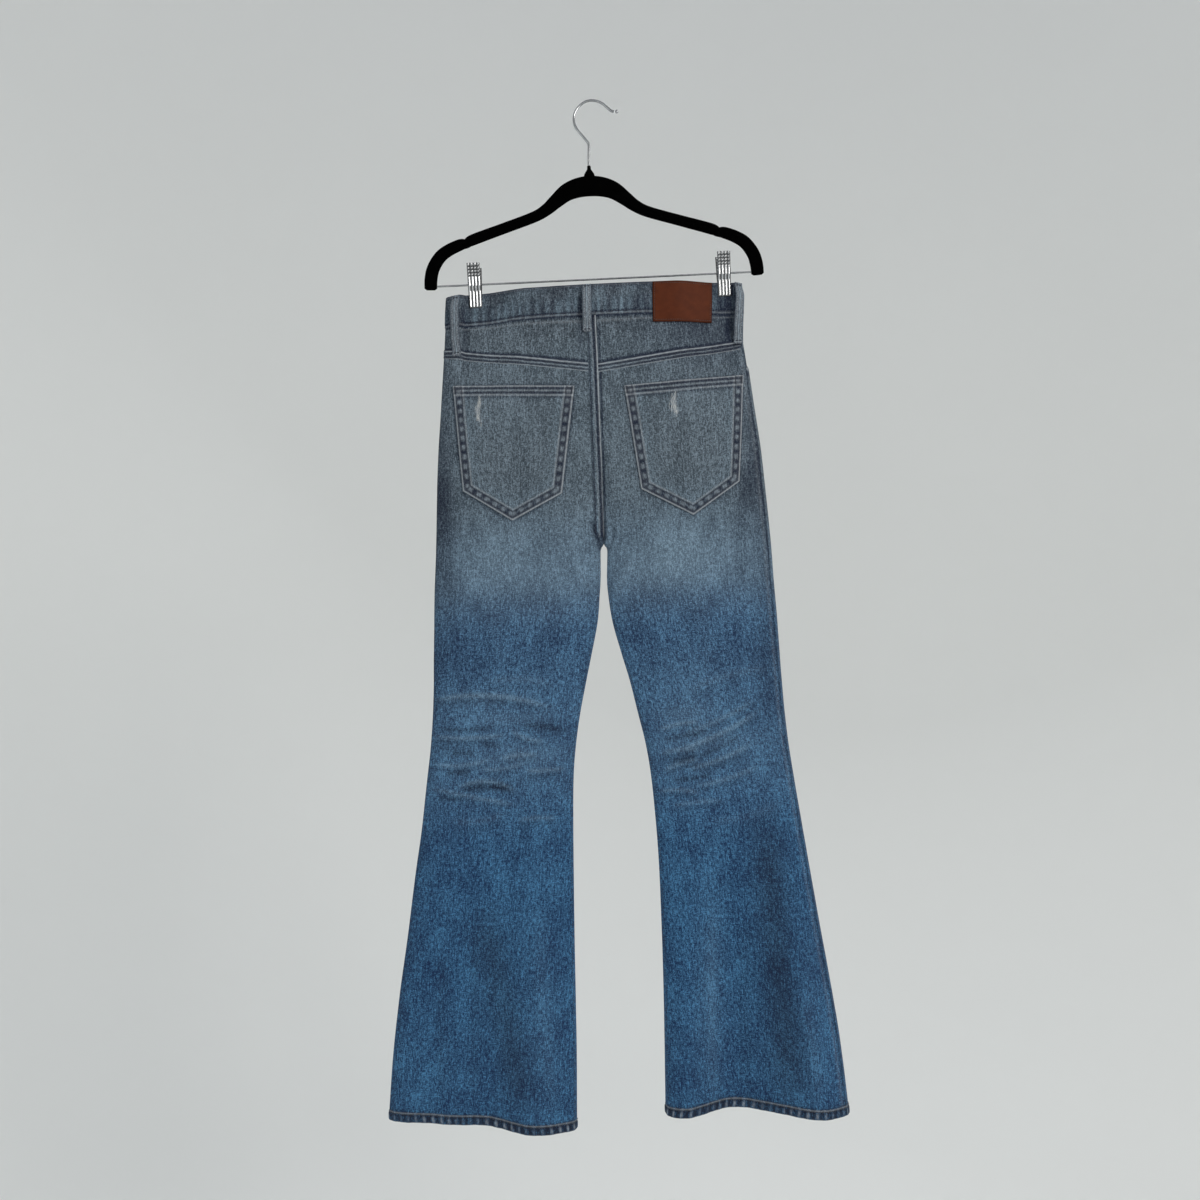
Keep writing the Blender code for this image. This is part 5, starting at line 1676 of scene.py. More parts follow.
@dataclass
class Seat:
    """The yokes, the front pocket facings and the felled seams over the seat."""

    finishes: Finishes

    def yoke(self, side: Side) -> Piece:
        """One half of the back yoke."""
        turns = np.linspace(0.001, OUTSEAM_TURN[side] - 0.001, 110)
        top = waist_seam(FORM.ring(side, turns, YOKE_READING)[..., 0])
        turn, drop, x, down = strip(side, turns, top, yoke_seam(side, turns) - 0.15, 34)
        reach = down * YOKE_HEIGHT
        lift = 0.25 * np.sin(x / 2.1 + 1.6 * np.sin(x / 13.0)) * np.exp((reach - YOKE_HEIGHT) / 5.0)
        wash = FORM.wash(Layer.BACK, x, drop)
        # Dark seam lines with painted shade along the yoke's top and foot
        wash[..., DARK] += bands(reach, YOKE_DARK)
        wash[..., WORN] = bands(reach, YOKE_WORN)
        return wrap(f"cloth_yoke_{side.word}", side, turn, drop, lift, DENIM, wash, self.finishes.denim)

    def facing(self, side: Side) -> Piece:
        """The piece that shows in the front pocket's scoop."""
        turns = np.linspace(OUTSEAM_TURN[side] + 0.001, FACING_END_TURN, 60)
        top = waist_seam(FORM.ring(side, turns, YOKE_READING)[..., 0])
        turn, drop, x, down = strip(side, turns, top, scoop_line(side, turns) + FACING_OVERLAP, 44)
        wash = FORM.wash(Layer.FRONT, x, drop)
        # Darker all over, with painted shade deepening towards its foot, where it passes under the front
        # panel's scoop.
        wash[..., DARK] += 0.15 + 0.4 * np.exp((down - 1.0) / 0.35)
        sunk = -(DENIM + LAYER_GAP)
        return wrap(f"cloth_facing_{side.word}", side, turn, drop, sunk, DENIM, wash, self.finishes.denim)

    def ribbon(self, name: str, first: Array, second: Array, lift: float, marks: dict[int, Bands]) -> Piece:
        """A felled band between two lines on the back.

        Args:
            name: The piece's name.
            first: The line along its folded edge, each row a distance across and a drop.
            second: The line along its flat edge.
            lift: The band's height above the cloth.
            marks: Its dark and worn bands.

        Returns:
            The piece.
        """
        shares = np.linspace(0.0, 1.0, 33)[None, :, None]
        flat = mix(first[:, None, :], second[:, None, :], shares)
        x, drop = flat[..., 0], flat[..., 1]
        reach = reach_along(first)[:, None]
        down = FELL_WIDTH * shares[..., 0]
        rounded = 1.0 - np.abs(2.0 * shares[..., 0] - 1.0) ** 9
        wave = np.sin(reach / 1.7 + 2.1 * np.sin(reach / 13.0) + 1.2 * np.sin(reach / 4.1))
        patchy = 0.6 + 0.4 * np.sin(reach / 9.7 + 2.0 * np.sin(reach / 23.0))
        height = lift * (0.25 + 0.75 * rounded) + 0.16 * wave * bell(down - 6.8, 2.4)
        wash = FORM.wash(Layer.BACK, x, drop)
        wash[..., FADE] += 0.16 * patchy
        wash[..., DARK] += 0.34 * (0.5 - 0.5 * wave) * bell(down - 6.8, 2.0) * patchy
        dark = bands(down, marks[DARK])
        wash[..., DARK] += dark * (0.85 + 0.15 * wave)
        wash[..., WORN] += bands(down, marks[WORN]) * (0.75 + 0.25 * patchy)
        return lay(name, x, drop, height - 0.35 * dark, FELL_CLOTH, wash, self.finishes.denim)

    def yoke_fell(self, side: Side) -> Piece:
        """The felled band over a yoke's lower seam."""
        turns = np.linspace(0.03, min(OUTSEAM_TURN[side], 1.0) - 0.012, 230)
        drop = yoke_seam(side, turns) - 0.4
        x = FORM.ring(side, turns, drop)[..., 0]
        first = np.stack([x, drop], axis=1)
        return self.ribbon(f"fell_yoke_{side.word}", first, first + (0.0, FELL_WIDTH), FELL_LIFT, YOKE_FELL)

    def centre_fell(self) -> Piece:
        """The felled band down the centre back seam."""
        drop = np.linspace(waist_seam(0.0) + 0.5, CROTCH - 9.0, 240)
        right = np.stack([FORM.centre_seam(drop) + 0.6, drop], axis=1)
        left = right - (FELL_WIDTH, 0.0)
        return self.ribbon("fell_centre_back", right, left, CENTRE_FELL_LIFT, CENTRE_FELL)

    def stitches(self, thread: Thread) -> Piece:
        """The stitch rows on the felled bands and round the front pocket openings."""
        for side in Side:
            turns = np.linspace(0.06, min(OUTSEAM_TURN[side], 1.0) - 0.03, 60)
            drop = yoke_seam(side, turns)
            x = FORM.ring(side, turns, drop)[..., 0]
            for offset in (5.2, 10.2):
                thread.row(Layer.BACK, list(zip(x, drop + offset)), FELL_LIFT - 0.2)
            turns = np.linspace(max(OUTSEAM_TURN[side], 1.0) + 0.04, 1.55, 60)
            drop = scoop_line(side, turns)
            x = FORM.ring(side, turns, drop)[..., 0]
            for offset in (2.5, 8.5):
                thread.row(Layer.FRONT, list(zip(x - side.value * 0.4 * offset, drop + offset)), 0.12)
        drop = np.linspace(waist_seam(0.0) + 3.0, CROTCH - 14.0, 60)
        for offset in (-2.8, -10.2):
            thread.row(Layer.BACK, list(zip(FORM.centre_seam(drop) + offset, drop)), CENTRE_FELL_LIFT - 0.3)
        top, middle, foot = FORM.centre_seam(np.array([300.0, 380.0, 400.0]))
        fly = [(top - 33.0, 292.0), (middle - 33.0, 372.0), (middle - 26.0, 396.0), (foot - 6.0, 414.0)]
        thread.row(Layer.FRONT, smooth_path(fly, 8).tolist(), 0.12)
        thread.row(Layer.FRONT, (smooth_path(fly, 8) + (6.0, -4.0)).tolist(), 0.12)
        drop = np.linspace(waist_seam(0.0) + 3.0, CROTCH - 14.0, 40)
        thread.row(Layer.FRONT, list(zip(FORM.centre_seam(drop) - 2.6, drop)), 0.12)
        return thread.finish("stitches_seat", self.finishes.blue_thread)

    def build(self, thread: Thread) -> None:
        stitches = self.stitches(thread)
        centre = self.centre_fell()
        for side in Side:
            yoke = self.yoke(side)
            fell = self.yoke_fell(side)
            declare(
                yoke, f"yoke_{side.word}", (0.225, 0.058),
                0.75,
            )
            declare(
                self.facing(side), f"front_pocket_facing_{side.word}", (0.115, 0.092),
                0.42,
            )


@dataclass
class Waistband:
    """The waistband's three pieces, its belt loops and the leather patch."""

    finishes: Finishes
    patch_left: float = 72.0
    patch_right: float = 150.0
    patch_height: float = 53.0
    patch_drop: float = 0.6
    patch_border: float = 2.6

    @staticmethod
    def heights(reach: Array, down: Array) -> tuple[Array, Array]:
        """The band's puckers.

        Args:
            reach: Distances along the band.
            down: Shares down the band.

        Returns:
            Heights, and the wave of the puckers from 0 to 1.
        """
        wave = 0.5 + 0.5 * np.sin(reach / 1.75 + 2.3 * np.sin(reach / 19.0) + 0.6 * np.sin(reach / 5.3))
        lower = ease((down - 0.25) / 0.35)
        height = 0.55 * (wave - 0.5) * lower * ease((1.0 - down) / 0.08)
        height += 0.35 * np.sin(reach / 16.0 + 1.2) * np.sin(np.pi * down)
        height -= bands(down * WAISTBAND_HEIGHT, BAND_SUNK)
        height -= 0.8 * (1.0 - ease(down / 0.035)) + 0.6 * (1.0 - ease((1.0 - down) / 0.03))
        return height, wave

    def wash_of(self, layer: Layer, x: Array, drop: Array, reach: Array, down: Array) -> Array:
        """The washed tones on the band, blotched along its puckers, with painted shade along its edges."""
        wave = self.heights(reach, down)[1]
        wash = FORM.wash(layer, x, drop)
        blotch = 0.5 + 0.5 * np.sin(reach / 7.9 + 2.0 * np.sin(reach / 27.0) + 3.0 * down)
        lower, level = ease((down - 0.25) / 0.4), down * WAISTBAND_HEIGHT
        wash[..., FADE] += -0.04 + 0.40 * wave * lower + 0.22 * blotch
        # Painted shade along the band's top edge and foot, among its dark stitch lines
        wash[..., DARK] += 0.34 * (1.0 - wave) * lower + 0.22 * (1.0 - blotch) + bands(level, BAND_DARK)
        wash[..., WORN] = bands(level, BAND_WORN)
        return wash

    def run(self, side: Side, start: float, end: float, columns: int, offset: float) -> tuple[Array, ...]:
        """A run of band on one side.

        Args:
            side: The side.
            start: The first turn.
            end: The last turn.
            columns: The number of columns.
            offset: Where its puckers start, so that runs differ.

        Returns:
            Points, outward directions, distances across, drops, distances along and shares down.
        """
        turns = np.linspace(start, end, columns)
        top = waist_top(FORM.ring(side, turns, WAIST_READING)[..., 0])
        turn, drop, x, down = strip(side, turns, top, top + WAISTBAND_HEIGHT, 34)
        points = FORM.surface(side, turn, drop, BAND_LIFT + self.heights(offset + x, down)[0])
        return points, FORM.outward(side, turn, drop), x, drop, offset + x, down

    def back(self) -> Piece:
        """The band across the back, from one outseam to the other."""
        left = self.run(Side.LEFT, OUTSEAM_TURN[Side.LEFT], 0.0, 170, 0.0)
        right = self.run(Side.RIGHT, 0.0, OUTSEAM_TURN[Side.RIGHT], 160, 0.0)
        points, normals, x, drop, reach, down = (
            np.concatenate([one[:, :-1], two[:, 1:]], axis=1) for one, two in zip(left, right)
        )
        wash = self.wash_of(Layer.BACK, x, drop, reach, down)
        name = "cloth_waistband_back"
        return cloth_piece(name, points, normals, BAND_CLOTH - 0.4, wash, self.finishes.denim)

    def front(self, side: Side) -> Piece:
        """The band across one half of the front; the right one runs on as the underlap."""
        points, normals, x, drop, reach, down = self.run(side, OUTSEAM_TURN[side] + 0.001, 1.999, 150, 90.0)
        wash = self.wash_of(Layer.FRONT, x, drop, reach, down)
        if side is Side.RIGHT:
            places = np.linspace(-3.8, -UNDERLAP_REACH, 16)
            shares = np.linspace(0.0, 1.0, points.shape[0])[:, None]
            drop_under = waist_top(places)[None, :] + WAISTBAND_HEIGHT * shares
            x_under = np.broadcast_to(places[None, :], drop_under.shape)
            under, facing = FORM.place(Layer.FRONT, x_under, drop_under, -UNDERLAP_SINK)
            points = np.concatenate([points[:, :-1], under], axis=1)
            normals = np.concatenate([normals[:, :-1], facing], axis=1)
            wash = np.concatenate([wash[:, :-1], FORM.wash(Layer.FRONT, x_under, drop_under)], axis=1)
        name = f"cloth_waistband_front_{side.word}"
        return cloth_piece(name, points, normals, BAND_CLOTH - 0.5, wash, self.finishes.denim)

    def patch(self) -> Piece:
        """The bare leather patch on the right half of the back."""
        shares = np.linspace(0.0, 1.0, 78)[None, :]
        down = np.linspace(0.0, 1.0, 54)[:, None]
        x = np.broadcast_to(mix(self.patch_left, self.patch_right, shares), (54, 78)).copy()
        drop = waist_top(x) + self.patch_drop + self.patch_height * down
        drop += 0.9 * np.sin(np.pi * shares) * (down - 0.5)
        x += 0.5 * np.sin(down * 5.0) * (shares - 0.5)
        width = self.patch_right - self.patch_left
        height = self.patch_height
        edge = np.minimum(np.minimum(shares, 1.0 - shares) * width, np.minimum(down, 1.0 - down) * height)
        pressed = bell(edge - self.patch_border, 0.7)
        lift = LEATHER_LIFT - 0.9 * (1.0 - ease(edge / 1.3)) - 0.22 * pressed
        lift += 0.25 * np.sin(x / 9.0 + 1.0) * np.sin(drop / 11.0)
        wash = np.zeros((*x.shape, 4))
        wash[..., DARK] = 0.75 * np.exp(-edge / 0.9) + 0.30 * pressed
        return lay("leather_patch", x, drop, lift, LEATHER_CLOTH, wash, self.finishes.leather)

    def loop_points(self, loop: Loop, columns: int, rows: int, spread: float) -> tuple[Array, ...]:
        """A belt loop's grid.

        Args:
            loop: The loop.
            columns: Points across.
            rows: Points down.
            spread: The share of its width that they fill.

        Returns:
            Points, outward directions, distances across, drops, shares across and shares down.
        """
        down = np.linspace(0.0, 1.0, rows)[:, None]
        side = np.linspace(-0.5, 0.5, columns)[None, :] * spread
        x = mix(loop.top_across, loop.foot_across, down) + side * LOOP_WIDTH
        drop = waist_top(x) + LOOP_DROP + loop.length * down + np.zeros_like(x)
        stage = np.array(LOOP_STAGES)
        stand = np.interp(down, stage[:, 0], stage[:, 1])
        stand = 0.5 * stand + 0.25 * np.interp(down + 0.04, stage[:, 0], stage[:, 1])
        stand = stand + 0.25 * np.interp(down - 0.04, stage[:, 0], stage[:, 1])
        rounded = 1.0 - np.abs(2.0 * side) ** 8
        lift = LOOP_LIFT + LOOP_STANDOFF * stand - 0.8 * (1.0 - rounded)
        lift = lift + 0.22 * np.cos(side * 4.0 * np.pi) + 0.10 * np.sin(down * 47.0 + 4.0 * side)
        middle = mix(loop.top_across, loop.foot_across, down)
        centre, normal = FORM.place(loop.layer, np.broadcast_to(middle, x.shape), drop, 0.0)
        points, _ = FORM.place(loop.layer, x, drop, 0.0)
        aside = points - centre
        reach = np.linalg.norm(aside, axis=-1, keepdims=True)
        flat = unit(aside - normal * (aside * normal).sum(axis=-1, keepdims=True))
        points = centre + flat * np.where(reach > 1e-6, np.abs(side)[..., None] * LOOP_WIDTH, 0.0)
        points = points + normal * lift[..., None]
        return points, normal, x, drop, np.broadcast_to(side, x.shape), np.broadcast_to(down, x.shape)

    def loop(self, loop: Loop, thread: Thread) -> Piece:
        """A belt loop with its thread rows and bar tacks."""
        points, normals, x, drop, side, down = self.loop_points(loop, 17, 60, 1.0)
        wash = FORM.wash(loop.layer, x, drop)
        away, foot = np.abs(side), (1.0 - down) * loop.length
        wash[..., FADE] += 0.22 + 0.20 * np.cos(side * 4.0 * np.pi)
        # Painted shade along the loop's side edges, in the grooves between its ribs and at its foot.
        wash[..., DARK] = ease((away - 0.36) / 0.07) + 0.8 * bell(away - 0.125, 0.05) + bell(foot, 1.5)
        wash[..., WORN] = 0.16 + bands(away, LOOP_WORN) + 0.4 * bell(foot - 3.0, 0.9)
        name = f"cloth_{loop.node}"
        piece = cloth_piece(name, points, normals, LOOP_CLOTH - 0.7, wash, self.finishes.denim)
        rows, facing, _, _, _, _ = self.loop_points(loop, 3, 120, 0.58)
        for column in (0, 2):
            thread.along(rows[:, column] + facing[:, column] * 0.12, facing[:, column], radius=0.42)
        for row in (5, 113):
            ends = rows[row, [0, 2]] + facing[row, [0, 2]] * 0.25
            line = np.linspace(ends[0], ends[1], 12)
            thread.along(line, np.tile(facing[row, 1], (12, 1)), 0.62, True, 2.4, 0.42)
        return piece

    def stitches(self, thread: Thread) -> Piece:
        """The rows along the band's edges."""
        across = np.linspace(0.0, 1.0, 120)
        for layer in Layer:
            for level in (3.0, WAISTBAND_HEIGHT - 4.2):
                x = mix(-194.0, 181.0, across)
                keep = [(one, waist_top(one) + level) for one in x]
                thread.row(layer, keep, BAND_LIFT + 0.02, radius=0.45)
        return thread.finish("stitches_waistband", self.finishes.blue_thread)

    def build(self, thread: Thread) -> None:
        stitches = self.stitches(thread)
        loops = [self.loop(loop, thread) for loop in LOOPS]
        loop_stitches = thread.finish("stitches_belt_loops", self.finishes.blue_thread)
        back = self.back()
        declare(
            back, "waistband_back", (0.39, 0.041),
            1.0,
        )
        for side in Side:
            flat = (0.19 if side is Side.LEFT else 0.225, 0.041)
            declare(
                self.front(side), f"waistband_front_{side.word}", flat,
            )
        for loop, piece in zip(LOOPS, loops):
            flat = (LOOP_WIDTH * MM, loop.length * 1.04 * MM)
            declare(piece, loop.node, flat)
        patch = self.patch()
        inset = self.patch_border
        left, right = self.patch_left + inset, self.patch_right - inset
        top, foot = self.patch_drop + inset, self.patch_drop + self.patch_height - inset
        corners = [(left, top), (right, top), (right, foot), (left, foot), (left, top)]
        line = [(x, float(waist_top(x)) + level) for x, level in corners]
        thread.row(Layer.BACK, line, LEATHER_LIFT - 0.12, radius=0.34, length=2.4, pitch=3.1)
        edge = thread.finish("stitches_patch", self.finishes.brown_thread)
        declare(patch, "waist_patch", (0.078, 0.053), 1.0)


@dataclass
class PatchPocket:
    """A patch pocket with its doubled mouth, its stitched and blotched border and its worn spot."""

    finishes: Finishes
    side: Side
    columns: int = 104
    rows: int = 116
    ladder_pitch: float = 12.3

    def outline(self) -> list[Corner]:
        """The border's corners, from the inner end of the mouth round to its outer end."""
        cut = POCKETS[self.side]
        return [cut.inner_top, cut.inner_foot, cut.tip, cut.outer_foot, cut.outer_top]

    def borders(self, x: Array, drop: Array) -> tuple[Array, Array, Array]:
        """Distances on the pocket.

        Args:
            x: Distances across.
            drop: Drops below the hook.

        Returns:
            The distance from the sewn border, the distance along it, and the distance from the mouth.
        """
        best = np.full(x.shape, 1e6)
        along = np.zeros(x.shape)
        passed = 0.0
        corners = self.outline()
        for start, end in zip(corners, corners[1:]):
            way = np.array(end) - np.array(start)
            length = float(np.hypot(*way))
            way = way / length
            reach = np.clip((x - start.across) * way[0] + (drop - start.drop) * way[1], 0.0, length)
            away = np.hypot(x - start.across - reach * way[0], drop - start.drop - reach * way[1])
            along = np.where(away < best, passed + reach, along)
            best = np.minimum(best, away)
            passed += length
        top = np.array(corners[-1]) - np.array(corners[0])
        top = top / np.hypot(*top)
        mouth = np.abs(-(x - corners[0].across) * top[1] + (drop - corners[0].drop) * top[0])
        return best, along, mouth

    def inset(self, distance: float, top: float) -> list[tuple[float, float]]:
        """The border's line moved in from the edge.

        Args:
            distance: How far in.
            top: How far below the mouth it starts.

        Returns:
            The line's corners.
        """
        corners = np.array(self.outline(), float)
        ways = unit(np.roll(corners, -1, axis=0) - corners)
        inward = np.stack([-ways[:, 1], ways[:, 0]], axis=1)
        inward *= np.sign(((corners.mean(axis=0) - corners) * inward).sum(axis=1, keepdims=True))
        starts = corners + inward * np.array([[distance]] * (len(corners) - 1) + [[top]])
        points = []
        for index, (start, way) in enumerate(zip(starts, ways)):
            before, way_before = starts[index - 1], ways[index - 1]
            reach = np.linalg.solve(np.stack([way_before, -way], axis=1), start - before)
            points.append(tuple(before + way_before * reach[0]))
        return points

    def cloth(self) -> Piece:
        """The pocket's cloth."""
        cut = POCKETS[self.side]
        share = np.linspace(0.0, 1.0, self.columns)[None, :]
        down = np.linspace(0.0, 1.0, self.rows)[:, None]
        near_tip = 1.0 - np.abs(2.0 * share - 1.0)
        foot_start = np.where(share <= 0.5, cut.inner_foot.across, cut.outer_foot.across)
        foot_drop = np.where(share <= 0.5, cut.inner_foot.drop, cut.outer_foot.drop)
        foot_x = mix(foot_start, cut.tip.across, near_tip)
        foot_y = mix(foot_drop, cut.tip.drop, near_tip)
        x = mix(mix(cut.inner_top.across, cut.outer_top.across, share), foot_x, down)
        drop = mix(mix(cut.inner_top.drop, cut.outer_top.drop, share), foot_y, down)
        edge, along, mouth = self.borders(x, drop)
        ladder = 0.5 + 0.5 * np.sin(2.0 * np.pi * along / self.ladder_pitch + 0.8 * np.sin(along / 31.0))
        ladder *= 0.88 + 0.12 * np.sin(along / 9.1 + 2.0)
        lane = 1.0 - ease((np.abs(edge - 6.8) - 2.0) / 1.8)
        near = np.minimum(edge, mouth)
        lift = POCKET_LIFT - 1.1 * (1.0 - ease(near / 1.8))
        lift -= bands(edge, BORDER_SUNK) + bands(mouth, MOUTH_SUNK)
        lift += 0.50 * lane * (1.0 - ladder) + 0.45 * (1.0 - ease((mouth - 13.0) / 1.6))
        lift += 0.22 * np.sin(along / 1.9) * bell(edge - INNER_ROW - 2.0, 2.5)
        lift += 0.16 * np.sin(x / 1.6 + np.sin(x / 9.0)) * bell(mouth - 7.0, 4.0)
        wash = FORM.wash(Layer.BACK, x, drop)
        foot = ease((drop - 495.0) / 20.0)
        blot = ease((ladder - 0.22) / 0.36) * lane * mix(1.0, 0.45, foot)
        # Dark stitch lines and blotches, and, from MOUTH_DARK, a painted shadow under the doubled mouth
        dark = 1.4 * blot + bands(edge, BORDER_DARK) + bands(mouth, MOUTH_DARK)
        dark *= ease((edge + 2.0) / 4.0)
        pale = 0.9 * bell(near - 0.9, 1.0) + 0.22 * lane * (1.0 - ladder)
        pale += bands(edge, BORDER_WORN) + bands(mouth, MOUTH_WORN)
        spot_x, top, bottom, half = FRAYS[self.side]
        fray = bell(x - spot_x - 1.6 * np.sin(drop / 5.0), half * 0.6)
        fray *= bell(drop - 0.5 * (top + bottom), 12.0)
        wash[..., FADE] += 0.10 * bell(edge - 16.0, 9.0) - 0.07
        wash[..., DARK] += dark * (1.0 - 0.8 * bell(near - 0.6, 1.0))
        wash[..., WORN] = pale + 0.7 * fray
        name = f"cloth_back_pocket_{self.side.word}"
        return lay(name, x, drop, lift, POCKET_CLOTH, wash, self.finishes.denim)

    def sew(self, thread: Thread) -> tuple[Piece, Piece]:
        """The pocket's stitches, bar tacks and frayed threads."""
        seat = POCKET_LIFT - 0.22
        for distance in (OUTER_ROW, INNER_ROW):
            thread.row(Layer.BACK, self.inset(distance, 1.5), seat)
        for level in MOUTH_ROWS:
            ends = self.inset(1.6, level)
            thread.row(Layer.BACK, [ends[0], ends[-1]], seat + 0.4)
        for distance in (2.2, 3.4, 8.6, 9.8):
            ends = self.inset(distance, 1.2)
            feet = self.inset(distance, 11.0)
            for one in (0, -1):
                thread.row(Layer.BACK, [ends[one], feet[one]], seat + 0.45, 0.8, True, 1.7, 0.4)
        sewn = thread.finish(f"stitches_pocket_{self.side.word}", self.finishes.blue_thread)
        random = np.random.default_rng(11 + self.side.value)
        spot_x, top, bottom, half = FRAYS[self.side]
        for _ in range(30):
            x = spot_x + random.normal(0.0, half * 0.36)
            start = random.uniform(top - 2.0, bottom - 3.0)
            end = start + random.uniform(3.0, 9.0)
            lean = random.normal(0.0, 1.1)
            x += 2.0 * math.sin(start / 5.0)
            line = [(x, start), (x + lean, 0.5 * (start + end)), (x + 0.4 * lean, end)]
            thread.row(Layer.BACK, line, POCKET_LIFT + random.uniform(0.0, 0.6), 1.7, False, 2.3, 0.24)
        return sewn, thread.finish(f"frayed_threads_{self.side.word}", self.finishes.white_thread)

    def build(self, thread: Thread) -> None:
        sewn = self.sew(thread)
        declare(
            self.cloth(), f"back_pocket_{self.side.word}", (0.158, 0.178),
            0.86,
        )


@dataclass
class Fly:
    """The waist button, and the finishes of the zip, its slider and the shield behind it."""

    finishes: Finishes
    profile: tuple[tuple[float, float], ...] = (
        (0.05, -2.75), (2.2, -2.75), (2.2, 0.4), (7.6, 0.5), (8.3, 0.9), (8.5, 1.5), (8.3, 2.3), (7.6, 2.9),
        (6.9, 3.1), (6.3, 2.9), (5.7, 3.15), (4.6, 3.45), (2.6, 3.6), (0.05, 3.62),
    )

    def button(self) -> Piece:
        """The turned waist button."""
        x = float(FORM.inner_edge(Side.LEFT, np.array([WAIST_READING]))[0]) - BUTTON_PLACE
        level = float(waist_top(x)) + 0.5 * WAISTBAND_HEIGHT
        turn = FORM.turn_at(Side.LEFT, Layer.FRONT, np.array([x]), np.array([level]))
        normal = FORM.outward(Side.LEFT, turn, np.array([level]))[0]
        seat = FORM.ring(Side.LEFT, turn, np.array([level]))[0] + normal * BAND_LIFT
        first = unit(np.cross(normal, (0.0, 0.0, 1.0)))
        second = np.cross(normal, first)
        cosine, sine = circle(56)
        around = first * cosine[:, None] + second * sine[:, None]
        rings = np.stack([seat + normal * height + around * radius for radius, height in self.profile])
        return loft_piece("button_cap", rings, self.finishes.brass, 35.0)

    def build(self) -> None:
        """Builds the button and dresses the kept nodes."""
        button = self.button()
        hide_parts("waist_button")
        made = self.finishes
        kept = {"zip": made.tape, "zip_slider": made.brass, "fly_shield": made.plain_denim}
        for node, material in kept.items():
            thing = bpy.data.objects[node]
            for slot in thing.material_slots:
                slot.material = material
            LOG.info("%s: kept, with %s", node, material.name)


